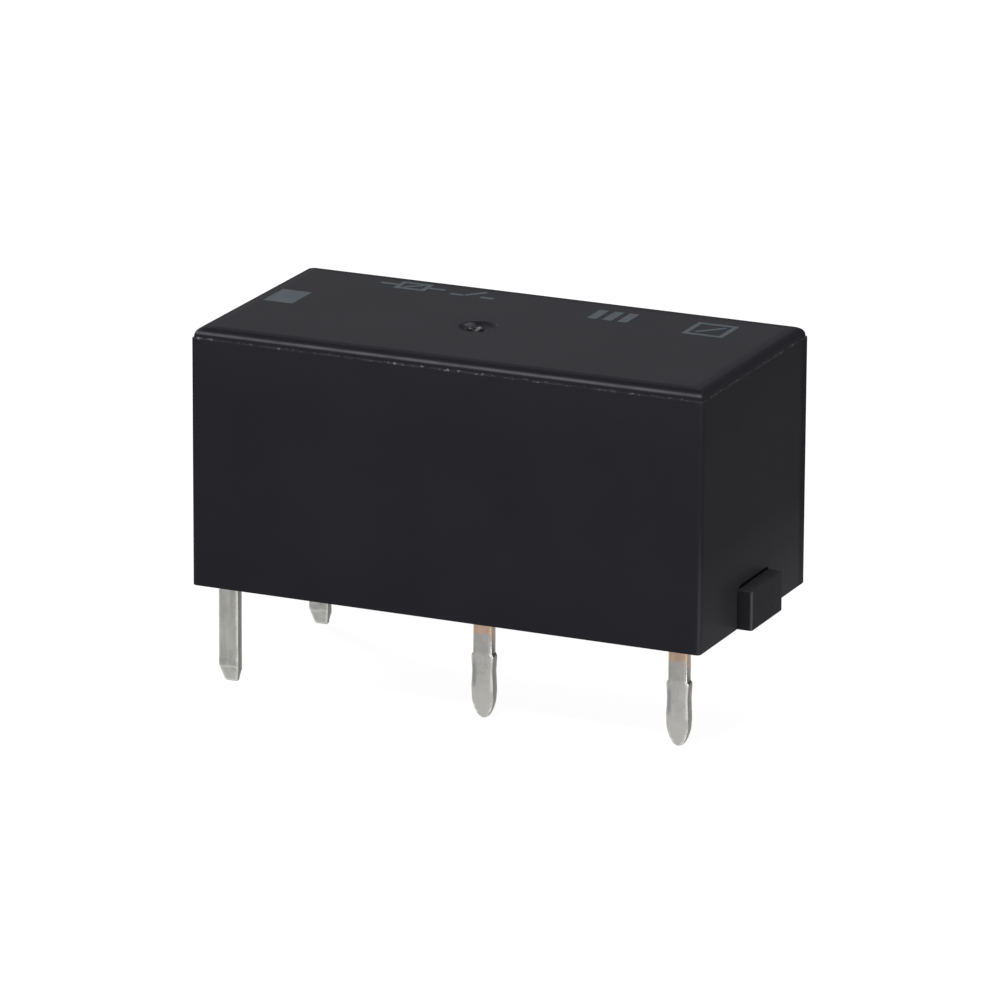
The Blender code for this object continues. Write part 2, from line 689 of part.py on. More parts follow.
def coil_terminal(name, side):
    """A flat blade with a tip cut and coined on one side, and a wrapping post above."""
    half = COIL_BLADE_WIDTH / 2
    post = WRAP_POST_WIDTH / 2
    thick = COIL_BLADE_THICKNESS
    shoulder = FLOOR_Z + FIT_GAP
    crease = COIL_TIP_LENGTH - TERMINAL_DROP
    rings = [
        blade_ring(-post, post, thick, FLOOR_Z + WRAP_POST_HEIGHT),
        blade_ring(-post, post, thick, shoulder + half - post),
        blade_ring(-half, half, thick, shoulder),
        blade_ring(-half, half, thick, crease),
    ]
    thin = COIL_TIP_THICKNESS
    for (left, right), height in zip(COIL_TIP_SIDES, (BLADE_EDGE_RADIUS - TERMINAL_DROP, -TERMINAL_DROP)):
        rings.append(blade_ring(left * half, right * half, thin, height))
        thin -= BLADE_EDGE_RADIUS
    terminal = loft(name, rings, TINNED)
    terminal.location = (COIL_X, side * ROW_Y, 0)
    smooth(terminal)
    return terminal


def contact_blade(name, top):
    """A blade with a swollen, slightly waisted lower part and a rounded point."""
    neck = CONTACT_NECK_WIDTH / 2
    swell = CONTACT_SWELL_WIDTH / 2
    waist = CONTACT_WAIST_WIDTH / 2
    thick = CONTACT_BLADE_THICKNESS
    shoulder = -CONTACT_NECK_LENGTH
    widest = CONTACT_TIP_LENGTH - TERMINAL_DROP
    middle = (shoulder + widest) / 2
    stations = [
        (top, neck),
        (shoulder, neck),
        (shoulder - CONTACT_SHOULDER_DROP, swell),
        (shoulder - CONTACT_SWELL_FADE, (swell + waist) / 2),
        (middle, waist),
        (widest + CONTACT_SWELL_FADE, (swell + waist) / 2),
        (widest, swell),
    ]
    rings = [blade_ring(-half, half, thick, height) for height, half in stations]
    fall, fullness = CONTACT_TIP_CURVE
    for share in CONTACT_TIP_STATIONS:
        half = swell * max(1 - share**fall, CONTACT_TIP_BLUNTNESS) ** fullness
        thin = CONTACT_TIP_THICKNESS + (thick - CONTACT_TIP_THICKNESS) * (1 - share**2)
        rings.append(blade_ring(-half, half, thin, widest - share * CONTACT_TIP_LENGTH))
    return loft(name, rings, COPPER)


def make_fixed_terminal():
    """The strip on the floor that carries the fixed contact, with its blade."""
    outer_y = -ROW_Y - CONTACT_BLADE_THICKNESS / 2 - TOUCH_GAP
    inner_y = -FLANGE_WIDTH / 2 - STRIP_TO_FLANGE
    start_x = FIXED_TERMINAL_X - CONTACT_NECK_WIDTH / 2 - TOUCH_GAP
    pad_half = CONTACT_RADIUS + FIT_GAP
    pad_end = CONTACT_RADIUS + 2 * FIT_GAP
    outline = (
        [(start_x, outer_y), (CONTACT_X + pad_half, outer_y)]
        + arc((CONTACT_X, pad_end - pad_half), pad_half, 0, 180, 8)
        + [(CONTACT_X - pad_half, inner_y), (start_x, inner_y)]
    )
    terminal = plate(
        "fixed_contact_terminal",
        outline,
        BRACKET_THICKNESS,
        LYING,
        (0, 0, STRIP_Z + BRACKET_THICKNESS / 2),
        COPPER,
    )
    blade = contact_blade("fixed_blade", STRIP_Z + BRACKET_THICKNESS / 2)
    blade.location = (FIXED_TERMINAL_X, -ROW_Y, 0)
    join(terminal, blade)
    rivet_hole = hole(
        "fixed_rivet_hole", (CONTACT_X, 0, STRIP_Z), CONTACT_SHANK_RADIUS + HOLE_GAP, 4 * BRACKET_THICKNESS
    )
    cut(terminal, rivet_hole)
    return terminal


def make_moving_terminal():
    """The bent bracket that carries the contact spring, with its blade."""
    outer_y = -ROW_Y - BRACKET_THICKNESS / 2
    inner_y = outer_y + BRACKET_THICKNESS
    low_z = FLOOR_Z + FIT_GAP
    bend = BRACKET_BEND
    under_z = BRACKET_TOP_Z - BRACKET_THICKNESS
    outline = (
        [(inner_y, low_z)]
        + arc((inner_y + TIGHT_BEND, under_z - TIGHT_BEND), TIGHT_BEND, 180, 90, 2)
        + [(BRACKET_SIDE, under_z), (BRACKET_SIDE, BRACKET_TOP_Z)]
        + arc((outer_y + bend, BRACKET_TOP_Z - bend), bend, 90, 180, 4)
        + [(outer_y, low_z)]
    )
    terminal = plate(
        "moving_contact_terminal", outline, BRACKET_LENGTH, FACING_END, (ANCHOR_X, 0, 0), COPPER
    )
    blade = contact_blade("moving_blade", low_z + 2 * OVERLAP)
    blade.location = (MOVING_TERMINAL_X, -ROW_Y, 0)
    join(terminal, blade)
    rivet_hole = hole(
        "anchor_hole", (ANCHOR_X, 0, BRACKET_TOP_Z), RIVET_RADIUS + HOLE_GAP, 4 * BRACKET_THICKNESS
    )
    cut(terminal, rivet_hole)
    return terminal


# Magnet
def make_yoke():
    """A bent iron plate: an upright at the coil end and a long top leg."""
    inner_bend = YOKE_BEND - YOKE_THICKNESS
    inner_x = YOKE_START_X + YOKE_THICKNESS
    bevel_x, bevel_z = YOKE_BEVEL
    outline = (
        [(inner_x, FLANGE_Z), (inner_x, YOKE_UNDER_Z - inner_bend)]
        + arc((inner_x + inner_bend, YOKE_UNDER_Z - inner_bend), inner_bend, 180, 90, 2)
        + [
            (YOKE_END_X, YOKE_UNDER_Z),
            (YOKE_END_X, YOKE_TOP_Z - bevel_z),
            (YOKE_END_X - bevel_x, YOKE_TOP_Z),
        ]
        + arc((YOKE_START_X + YOKE_BEND, YOKE_TOP_Z - YOKE_BEND), YOKE_BEND, 90, 180, 5)
        + [(YOKE_START_X, FLANGE_Z)]
    )
    yoke = plate("yoke", outline, YOKE_WIDTH, FACING_SIDE, (0, 0, 0), IRON)
    for side in (-1, 1):
        y = side * YOKE_FOOT_SPACING / 2
        foot = box(
            f"yoke_foot_{side}",
            (YOKE_START_X, y - YOKE_FOOT_WIDTH / 2, FLOOR_Z - YOKE_FOOT_DEPTH),
            (inner_x, y + YOKE_FOOT_WIDTH / 2, FLANGE_Z + OVERLAP),
        )
        join(yoke, foot)
    spigot_hole = hole(
        "spigot_hole",
        (YOKE_START_X, 0, CORE_Z),
        CORE_SPIGOT_RADIUS + HOLE_GAP,
        4 * YOKE_THICKNESS,
        Matrix.Rotation(math.pi / 2, 4, "Y"),
    )
    rivet_holes = [
        hole(f"yoke_rivet_hole_{i}", place, RIVET_RADIUS + HOLE_GAP, 4 * YOKE_THICKNESS)
        for i, place in enumerate(yoke_rivet_places())
    ]
    cut(yoke, spigot_hole, *rivet_holes)
    return yoke


def yoke_rivet_places():
    x = YOKE_END_X - HINGE_SPRING_ON_YOKE + RIVET_INSET
    return [Vector((x, side * RIVET_SPACING / 2, YOKE_TOP_Z)) for side in (-1, 1)]


def make_core():
    """The round core, upset behind the yoke and widened to a pole face in front."""
    spigot_back = YOKE_START_X - TOUCH_GAP
    shaft_back = YOKE_START_X + YOKE_THICKNESS + AIR_GAP
    profile = [
        (0, POLE_X),
        (POLE_RADIUS - POLE_CHAMFER, POLE_X),
        (POLE_RADIUS, POLE_X - POLE_CHAMFER),
        (POLE_RADIUS, POLE_X - POLE_THICKNESS),
        (CORE_RADIUS, POLE_X - POLE_THICKNESS),
        (CORE_RADIUS, shaft_back),
        (CORE_SPIGOT_RADIUS, shaft_back),
        (CORE_SPIGOT_RADIUS, spigot_back),
        (CORE_RIVET_RADIUS, spigot_back),
        (CORE_SPIGOT_RADIUS, spigot_back - CORE_RIVET_HEIGHT),
        (0, spigot_back - CORE_RIVET_HEIGHT),
    ]
    core = turned("core", profile, ROUND_STEPS, IRON)
    return along_x(core, (0, 0, CORE_Z))


def make_bobbin():
    """A moulded tube between two square flanges, with notches for the leads."""
    middle = (BOBBIN_START_X + BOBBIN_END_X) / 2
    length = BOBBIN_END_X - BOBBIN_START_X
    tube = hole("bobbin", (middle, 0, CORE_Z), TUBE_RADIUS, length - FLANGE_THICKNESS, FACING_END)
    tube.data.materials.append(BOBBIN_WHITE)
    outline = round_rectangle(
        (-FLANGE_WIDTH / 2, FLANGE_Z), (FLANGE_WIDTH / 2, FLANGE_Z + FLANGE_HEIGHT), FLANGE_RADIUS
    )
    for name, x in (
        ("rear_flange", BOBBIN_START_X + FLANGE_THICKNESS / 2),
        ("front_flange", BOBBIN_END_X - FLANGE_THICKNESS / 2),
    ):
        join(tube, plate(name, outline, FLANGE_THICKNESS, FACING_END, (x, 0, 0)))
    cut(tube, hole("bobbin_bore", (middle, 0, CORE_Z), BORE_RADIUS, 2 * length, FACING_END))
    return tube


def winding_limits():
    start = BOBBIN_START_X + FLANGE_THICKNESS + FIT_GAP
    stop = BOBBIN_END_X - FLANGE_THICKNESS - FIT_GAP
    return start, stop


def make_winding():
    """The coil, with its outer turns showing as shallow ridges."""
    start, stop = winding_limits()
    pitch = (stop - start) / WINDING_TURNS
    profile = [(WINDING_RADIUS - WIRE_GROOVE, stop)]
    for turn in range(WINDING_TURNS):
        profile.append((WINDING_RADIUS, stop - (turn + 0.5) * pitch))
        profile.append((WINDING_RADIUS - WIRE_GROOVE, stop - (turn + 1) * pitch))
    profile += [(WINDING_INNER_RADIUS, start), (WINDING_INNER_RADIUS, stop)]
    winding = turned("coil_winding", profile, ROUND_STEPS, ENAMEL, ring=True)
    return along_x(winding, (0, 0, CORE_Z))


def make_tape():
    """The tape round the winding, held short of both flanges."""
    start, stop = winding_limits()
    start += TAPE_MARGIN
    stop -= TAPE_MARGIN
    inner = WINDING_RADIUS + TOUCH_GAP
    outer = inner + TAPE_THICKNESS
    profile = [(outer, stop), (outer, start), (inner, start), (inner, stop)]
    tape = turned("coil_tape", profile, ROUND_STEPS, TAPE, ring=True)
    return along_x(tape, (0, 0, CORE_Z))


def make_lead(name, side):
    """One end of the winding wire: out past the flange, then wrapped on its terminal."""
    start, _ = winding_limits()
    post_corner = math.hypot(WRAP_POST_WIDTH, COIL_BLADE_THICKNESS) / 2
    wrap_radius = post_corner + LEAD_RADIUS + TOUCH_GAP
    leave_y = WINDING_RADIUS + LEAD_RADIUS + 2 * TOUCH_GAP
    pass_y = FLANGE_WIDTH / 2 + LEAD_RADIUS + TOUCH_GAP
    wrap_z = FLOOR_Z + LEAD_WRAP_SHARE * WRAP_POST_HEIGHT
    path = [
        Vector((start + 0.5 * TAPE_MARGIN, side * leave_y, CORE_Z)),
        Vector((start - FLANGE_THICKNESS / 3, side * pass_y, CORE_Z - LEAD_EXIT_DROP)),
        Vector((BOBBIN_START_X - 2 * FIT_GAP, side * pass_y, wrap_z + LEAD_ENTRY_RISE)),
    ]
    for step in range(LEAD_STEPS * LEAD_WRAP_TURNS + 1):
        turn = step / LEAD_STEPS
        angle = LEAD_WRAP_ANGLE + 2 * math.pi * turn
        path.append(
            Vector(
                (
                    COIL_X + wrap_radius * math.cos(angle),
                    side * (ROW_Y - wrap_radius * math.sin(angle)),
                    wrap_z - turn * LEAD_WRAP_PITCH,
                )
            )
        )
    curve = bpy.data.curves.new(name, "CURVE")
    curve.dimensions = "3D"
    curve.bevel_depth = LEAD_RADIUS
    curve.bevel_resolution = 1
    curve.use_fill_caps = True
    spline = curve.splines.new("POLY")
    spline.points.add(len(path) - 1)
    for point, place in zip(spline.points, path):
        point.co = (*place, 1)
    lead = bpy.data.objects.new(name, curve)
    RELAY.objects.link(lead)
    curve.materials.append(ENAMEL)
    return lead


# Armature
def make_armature():
    """The bent clapper, drawn closed about its pivot and then swung open."""
    gap = AIR_GAP
    thick = ARMATURE_THICKNESS
    top = YOKE_BEVEL[1]
    nose = ARMATURE_NOSE
    outline = (
        [(gap, -ARMATURE_DROP), (gap + thick, -ARMATURE_DROP)]
        + arc((gap + thick + TIGHT_BEND, top - thick - TIGHT_BEND), TIGHT_BEND, 180, 90, 2)
        + arc((ARMATURE_REACH - nose, top - thick + nose), nose, -90, 0, 2)
        + [(ARMATURE_REACH, top)]
        + arc((gap + ARMATURE_BEND, top - ARMATURE_BEND), ARMATURE_BEND, 90, 180, 4)
    )
    armature = plate("armature", outline, ARMATURE_WIDTH, FACING_SIDE, (0, 0, 0), IRON)
    trims = []
    for side in (-1, 1):
        inner = side * ARMATURE_ARM_WIDTH / 2
        outer = side * ARMATURE_WIDTH
        trim = box(
            f"arm_trim_{side}",
            (gap + thick + 2 * TIGHT_BEND, min(inner, outer), top - thick - CUT_OVERRUN),
            (ARMATURE_REACH + CUT_OVERRUN, max(inner, outer), top + CUT_OVERRUN),
        )
        trim.matrix_world = OPENED @ trim.matrix_basis
        trims.append(trim)
    rivet_hole = hole(
        "armature_rivet_hole", (ARMATURE_RIVET_REACH, 0, top), RIVET_RADIUS + HOLE_GAP, 4 * thick
    )
    rivet_hole.matrix_world = OPENED @ rivet_hole.matrix_basis
    armature.matrix_world = OPENED @ armature.matrix_basis
    cut(armature, *trims, rivet_hole)
    return armature


def make_hinge_spring():
    """A thin leaf riveted to the yoke and the armature, bent at the hinge."""
    flat_z = YOKE_TOP_Z + TOUCH_GAP
    arm_top = YOKE_BEVEL[1] + TOUCH_GAP
    middle, lift = HINGE_SPRING_BEND_MIDDLE
    line = [
        (YOKE_END_X - HINGE_SPRING_ON_YOKE, flat_z),
        (YOKE_END_X - HINGE_SPRING_BEND_START, flat_z),
        (YOKE_END_X - middle, flat_z + lift),
    ]
    for reach in (HINGE_SPRING_BEND_END, HINGE_SPRING_ON_ARMATURE):
        place = OPENED @ Vector((reach, 0, arm_top))
        line.append((place.x, place.z))
    upper = [(x, z + HINGE_SPRING_THICKNESS) for x, z in line]
    leaf = plate(
        "hinge_spring", line + upper[::-1], HINGE_SPRING_WIDTH, FACING_SIDE, (0, 0, 0), SPRING
    )
    window = box(
        "hinge_window",
        (YOKE_END_X - HINGE_WINDOW_LENGTH / 2, -HINGE_WINDOW_WIDTH / 2, YOKE_TOP_Z - CUT_OVERRUN),
        (YOKE_END_X + HINGE_WINDOW_LENGTH / 2, HINGE_WINDOW_WIDTH / 2, YOKE_TOP_Z + CUT_OVERRUN),
    )
    holes = [
        hole(f"leaf_hole_{i}", place, RIVET_RADIUS + HOLE_GAP, 8 * HINGE_SPRING_THICKNESS)
        for i, place in enumerate(yoke_rivet_places())
    ]
    arm_hole = hole(
        "leaf_arm_hole",
        (ARMATURE_RIVET_REACH, 0, arm_top),
        RIVET_RADIUS + HOLE_GAP,
        8 * HINGE_SPRING_THICKNESS,
    )
    arm_hole.matrix_world = OPENED @ arm_hole.matrix_basis
    cut(leaf, window, *holes, arm_hole)
    return leaf


def rivet(name, grip, material):
    """A rivet with its head above z = 0 and its shank hanging below, as long as the grip."""
    head = RIVET_HEAD_HEIGHT
    wide = RIVET_HEAD_RADIUS
    profile = [
        (0, head),
        (0.55 * wide, head),
        (0.9 * wide, 0.6 * head),
        (wide, 0.2 * head),
        (wide, 0),
        (RIVET_RADIUS, 0),
        (RIVET_RADIUS, -grip),
        (0, -grip),
    ]
    return turned(name, profile, SMALL_ROUND_STEPS, material)


def make_yoke_rivets():
    lift = TOUCH_GAP + HINGE_SPRING_THICKNESS + AIR_GAP
    grip = lift + RIVET_DEPTH_SHARE * YOKE_THICKNESS
    for name, place in zip(("yoke_rivet_front", "yoke_rivet_rear"), yoke_rivet_places()):
        rivet(name, grip, IRON).location = place + Vector((0, 0, lift))


def make_armature_rivet():
    lift = YOKE_BEVEL[1] + TOUCH_GAP + HINGE_SPRING_THICKNESS + AIR_GAP
    grip = lift - YOKE_BEVEL[1] + RIVET_DEPTH_SHARE * ARMATURE_THICKNESS
    item = rivet("armature_rivet", grip, IRON)
    item.matrix_world = OPENED @ Matrix.Translation((ARMATURE_RIVET_REACH, 0, lift))


# Card
def card_top():
    """Where the card's nose meets the swung-open armature."""
    arm_under = Vector((CARD_LEVER, 0, YOKE_BEVEL[1] - ARMATURE_THICKNESS))
    return (OPENED @ arm_under).z - CARD_GAP


def make_card():
    """The insulating slide between the armature and the contact spring."""
    half = CARD_WIDTH / 2
    foot = CARD_FOOT_WIDTH / 2
    nose = CARD_NOSE_WIDTH / 2
    top = card_top()
    low = CARD_FOOT_Z + CARD_SHOULDER
    high = GUIDE_TOP_Z + CARD_GAP
    outline = [
        (-foot, CARD_FOOT_Z),
        (foot, CARD_FOOT_Z),
        (foot, low - foot / 2),
        (half, low),
        (half, high),
        (nose, high),
        (nose, top),
        (-nose, top),
        (-nose, high),
        (-half, high),
        (-half, low),
        (-foot, low - foot / 2),
    ]
    card = plate("card", outline, CARD_THICKNESS, FACING_END, (CARD_X, 0, 0), CARD)
    tongues = box(
        "card_tongues",
        (CARD_X - CARD_TONGUE_THICKNESS / 2, -CARD_TONGUE_Y, low + CARD_GAP),
        (CARD_X + CARD_TONGUE_THICKNESS / 2, CARD_TONGUE_Y, high - CARD_GAP),
    )
    join(card, tongues)
    window_y, window_z = CARD_WINDOW
    middle_z = (low + high) / 2
    cut(
        card,
        box(
            "card_window",
            (CARD_X - CARD_THICKNESS, -window_y / 2, middle_z - window_z / 2),
            (CARD_X + CARD_THICKNESS, window_y / 2, middle_z + window_z / 2),
        ),
    )
    return card


# Contacts
def contact_profile(shank_length, tail):
    """Half a contact rivet: a domed head on top, a shank and, if asked, a closed tail."""
    radius = CONTACT_RADIUS
    rim = CONTACT_HEAD_HEIGHT - CONTACT_DOME
    profile = [(0, CONTACT_HEAD_HEIGHT)]
    for share in (0.35, 0.65, 0.88):
        profile.append((share * radius, CONTACT_HEAD_HEIGHT - CONTACT_DOME * share**2))
    profile += [(radius, rim), (radius, 0), (CONTACT_SHANK_RADIUS, 0)]
    profile.append((CONTACT_SHANK_RADIUS, -shank_length))
    if tail:
        profile.append((CONTACT_TAIL_RADIUS, -shank_length))
        profile.append((0.8 * CONTACT_TAIL_RADIUS, -shank_length - CONTACT_TAIL_HEIGHT))
        profile.append((0, -shank_length - CONTACT_TAIL_HEIGHT))
    else:
        profile.append((0, -shank_length))
    return profile


def make_fixed_contact():
    item = turned(
        "fixed_contact", contact_profile(BRACKET_THICKNESS + AIR_GAP, False), ROUND_STEPS, SILVER
    )
    item.location = (CONTACT_X, 0, FIXED_FACE_Z - CONTACT_HEAD_HEIGHT)
    return item


def make_moving_contact():
    """The contact under the spring's end, with its tail closed above the spring."""
    shank = CONTACT_SPRING_THICKNESS + 2 * AIR_GAP
    item = turned("moving_contact", contact_profile(shank, True), ROUND_STEPS, SILVER)
    item.matrix_world = Matrix.Translation(
        (CONTACT_X, 0, MOVING_FACE_Z + CONTACT_HEAD_HEIGHT)
    ) @ Matrix.Rotation(math.pi, 4, "X")
    return item


def make_contact_spring():
    """The leaf from its rivet on the bracket to the moving contact."""
    back = BRACKET_LENGTH / 2
    wide = CONTACT_SPRING_WIDTH / 2
    tip = CONTACT_SPRING_TIP_WIDTH / 2
    bracket_edge = ANCHOR_X - back
    side = min(wide, BRACKET_SIDE - FIT_GAP)
    outline = (
        [(ANCHOR_X + back - FIT_GAP, -side), (ANCHOR_X + back - FIT_GAP, side), (bracket_edge, side)]
        + [(CARD_X, (side + tip) / 2)]
        + arc((CONTACT_X, 0), tip, 90, 270, 8)
        + [(CARD_X, -(side + tip) / 2), (bracket_edge, -side)]
    )
    leaf = plate(
        "contact_spring",
        outline,
        CONTACT_SPRING_THICKNESS,
        LYING,
        (0, 0, SPRING_Z + CONTACT_SPRING_THICKNESS / 2),
        SPRING,
    )
    drill = 4 * CONTACT_SPRING_THICKNESS
    contact_hole = hole(
        "spring_contact_hole", (CONTACT_X, 0, SPRING_Z), CONTACT_SHANK_RADIUS + HOLE_GAP, drill
    )
    anchor_hole = hole("spring_anchor_hole", (ANCHOR_X, 0, SPRING_Z), RIVET_RADIUS + HOLE_GAP, drill)
    cut(leaf, contact_hole, anchor_hole)
    return leaf


def make_spring_rivet():
    lift = CONTACT_SPRING_THICKNESS + AIR_GAP
    item = rivet("spring_rivet", lift + RIVET_DEPTH_SHARE * BRACKET_THICKNESS, COPPER)
    item.location = (ANCHOR_X, 0, SPRING_Z + lift)
    return item


def build():
    make_cover()
    make_base()
    make_seal()
    coil_terminal("coil_terminal_front", -1)
    coil_terminal("coil_terminal_rear", 1)
    make_fixed_terminal()
    make_moving_terminal()
    make_yoke()
    make_core()
    make_bobbin()
    make_winding()
    make_tape()
    make_lead("coil_lead_front", -1)
    make_lead("coil_lead_rear", 1)
    make_armature()
    make_hinge_spring()
    make_yoke_rivets()
    make_armature_rivet()
    make_card()
    make_fixed_contact()
    make_moving_contact()
    make_contact_spring()
    make_spring_rivet()


build()
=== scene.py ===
"""Looks for the sealed printed-circuit power relay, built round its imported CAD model.

Sizes are in metres, in the frame of the CAD model: +Z away from the board, +X from the
coil end to the contact end. The outer pieces are made finer here, and every piece gets
a material made of nodes.
"""

import json
import math

import bmesh
import bpy
from mathutils import Matrix, Vector, noise

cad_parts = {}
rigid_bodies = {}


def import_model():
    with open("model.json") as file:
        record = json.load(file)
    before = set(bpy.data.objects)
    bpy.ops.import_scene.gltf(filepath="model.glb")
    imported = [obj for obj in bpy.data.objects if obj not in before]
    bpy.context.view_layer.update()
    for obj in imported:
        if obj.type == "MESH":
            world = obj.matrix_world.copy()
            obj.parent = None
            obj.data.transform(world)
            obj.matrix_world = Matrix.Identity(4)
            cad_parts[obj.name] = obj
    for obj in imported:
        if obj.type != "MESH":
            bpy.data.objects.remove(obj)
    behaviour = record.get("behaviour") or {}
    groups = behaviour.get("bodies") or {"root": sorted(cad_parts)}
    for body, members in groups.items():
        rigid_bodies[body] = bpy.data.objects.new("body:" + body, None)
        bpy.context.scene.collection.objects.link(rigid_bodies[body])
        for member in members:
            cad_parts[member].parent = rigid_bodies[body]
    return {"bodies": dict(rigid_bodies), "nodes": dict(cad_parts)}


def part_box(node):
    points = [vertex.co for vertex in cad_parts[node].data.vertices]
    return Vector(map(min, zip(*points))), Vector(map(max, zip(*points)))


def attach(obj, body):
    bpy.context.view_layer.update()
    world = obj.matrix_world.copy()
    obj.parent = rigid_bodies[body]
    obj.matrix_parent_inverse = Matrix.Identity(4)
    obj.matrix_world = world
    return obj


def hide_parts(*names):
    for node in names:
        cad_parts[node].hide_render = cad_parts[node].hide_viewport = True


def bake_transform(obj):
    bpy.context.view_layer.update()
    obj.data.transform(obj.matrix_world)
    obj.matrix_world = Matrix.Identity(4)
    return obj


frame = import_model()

MM = 0.001
NOISE_SEED = 5
noise.seed_set(NOISE_SEED)
KEPT = set(frame["nodes"].values()) | set(frame["bodies"].values())
for stray in [item for item in bpy.data.objects if item not in KEPT]:
    bpy.data.objects.remove(stray, do_unlink=True)
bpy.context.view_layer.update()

# Main places, read from the CAD model
COVER_LOW, COVER_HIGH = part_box("cover")
SEAL_LOW, SEAL_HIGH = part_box("epoxy_seal")
END_X, SIDE_Y, HEIGHT = COVER_HIGH
TIP_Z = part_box("coil_terminal_front")[0].z
ROW_Y = 3.81 * MM
COIL_X = -9.0 * MM
FIXED_X = 1.16 * MM
MOVING_X = 8.78 * MM

# Cover
WALL = 0.4 * MM
ROOF_Z = 9.15 * MM
CORNER_RADIUS = 0.15 * MM
CROWN_HEIGHT = 0.38 * MM
CROWN_STEP = 0.05 * MM
CROWN_RADIUS = 0.3 * MM
CAMBER_RADIUS = 1.6 * MM
CAMBER_ANGLE = math.radians(11)
BEVEL = 0.04 * MM
BEND = CAMBER_RADIUS * math.sin(CAMBER_ANGLE)
CAMBER_INSET = CROWN_STEP + CROWN_RADIUS * (1 - math.sin(CAMBER_ANGLE)) + BEVEL + BEND
CORNER_GROWTH = 0.3
LEDGE_LIP = 0.035 * MM
PRINT_THICKNESS = 0.006 * MM
VENT_PLACE = Vector((-0.72 * MM, -0.36 * MM))
VENT_RADIUS = 0.74 * MM
VENT_DEPTH = 0.085 * MM
TORN_SHIFT = Vector((0.02 * MM, -0.24 * MM))
TORN_PLACE = (VENT_PLACE.x + TORN_SHIFT.x, VENT_PLACE.y + TORN_SHIFT.y, HEIGHT)
GLEAM_PLACE = (-1.3 * MM, -0.02 * MM, HEIGHT - 0.04 * MM)
NOTCH_HALF = 1.5 * MM
NOTCH_TOP = 1.6 * MM
NOTCH_RADIUS = 0.35 * MM
LATCH_HALF = 1.25 * MM

# Base and seal
FLOOR_Z = 1.25 * MM
ISLAND_HALF = (4.5 * MM, 2.2 * MM)
ISLAND_RADIUS = 0.8 * MM
TAB_HALF = 1.43 * MM
TAB_START_X = 8.58 * MM
TAB_REACH = 0.56 * MM
TAB_TOP = 1.48 * MM
TAB_EDGE = 0.075 * MM

# Blades
COIL_WIDTH = 0.76 * MM
COIL_THICKNESS = 0.38 * MM
POST_WIDTH = 0.4 * MM
POST_TOP_Z = 4.4 * MM
NECK_WIDTH = 0.73 * MM
SWELL_WIDTH = 0.87 * MM
WAIST_WIDTH = 0.81 * MM
BLADE_THICKNESS = 0.44 * MM
SHOULDER_Z = -1.35 * MM
CREASE_Z = -2.68 * MM
POINT_THICKNESS = 0.2 * MM
COIL_CREASE_Z = -3.25 * MM
STAIN_Z = -2.9 * MM
BLADE_EDGE = 0.15 * MM
BLADE_EDGE_FLATNESS = 2.2
TIP_TAPER = (
    (0.12, 1.0), (0.25, 1.0), (0.36, 0.995), (0.45, 0.97), (0.54, 0.92), (0.63, 0.85), (0.73, 0.76),
    (0.83, 0.64), (0.9, 0.52), (0.945, 0.42), (0.975, 0.3), (0.992, 0.18), (1.0, 0.08),
)

FIT_GAP = 0.05 * MM
CUT_OVERRUN = 0.5 * MM

# Terminals' sections at the seal: place along X and Y, width and thickness
PINS = (
    (COIL_X, -ROW_Y, COIL_WIDTH, COIL_THICKNESS),
    (COIL_X, ROW_Y, COIL_WIDTH, COIL_THICKNESS),
    (FIXED_X, -ROW_Y, NECK_WIDTH, BLADE_THICKNESS),
    (MOVING_X, -ROW_Y, NECK_WIDTH, BLADE_THICKNESS),
)

# Ejector marks and the gate mark under the base's island, in mm: place and radius
EJECTOR_MARKS = (
    (-3.3, 1.1, 0.55), (3.3, 1.1, 0.55), (-3.3, -1.1, 0.55), (3.3, -1.1, 0.55), (0.0, 0.0, 0.7),
)

# Lights: name, place, target, width, height and power
LIGHTS = (
    ("key", (0.01, -0.174, 0.31), (0, 0, 0.006), 0.06, 0.06, 2.0),
    ("front", (0.05, -0.51, 0.12), (0, 0, 0.004), 0.25, 0.25, 0.9),
    ("front_right", (0.5, -0.22, 0.08), (0, 0, 0.004), 0.2, 0.2, 2.23),
    ("back_card", (-0.47, 1.04, 0.26), (0, 0, 0.2), 0.9, 0.36, 0.88),
    ("behind", (-0.375, 0.25, 0.215), (0, 0, 0.004), 0.12, 0.12, 4.0),
)

# Camera, which stands where the photograph was taken
CAMERA_PLACE = Vector((116.55, -259.62, 88.15)) * MM
CAMERA_AIM = Vector((-0.329, 0.804, 2.909)) * MM
CAMERA_ROLL = math.radians(0.31)
CAMERA_LENS = 295.0

# Heights at which the finishes change, and the depth of the pad in the contact leaf
LEDGE_Z = HEIGHT - CROWN_HEIGHT
# Height of the painted highlight band on the crown edge
HIGHLIGHT_BAND_Z = HEIGHT - 0.19 * MM
SHADE_Z = HEIGHT - 0.06 * MM
VENT_WALL_Z = HEIGHT - 0.04 * MM
TIN_LINE = (-0.58 * MM, -0.66 * MM)
DULL_LINE = (-1.28 * MM, -1.42 * MM)
PAD_DEPTH = 0.03 * MM

# Roughness of the cover: its faces, its far crowns and the vent's wall
SATIN = 0.32
DULL_CROWN = 0.6
DULL_VENT = 0.7

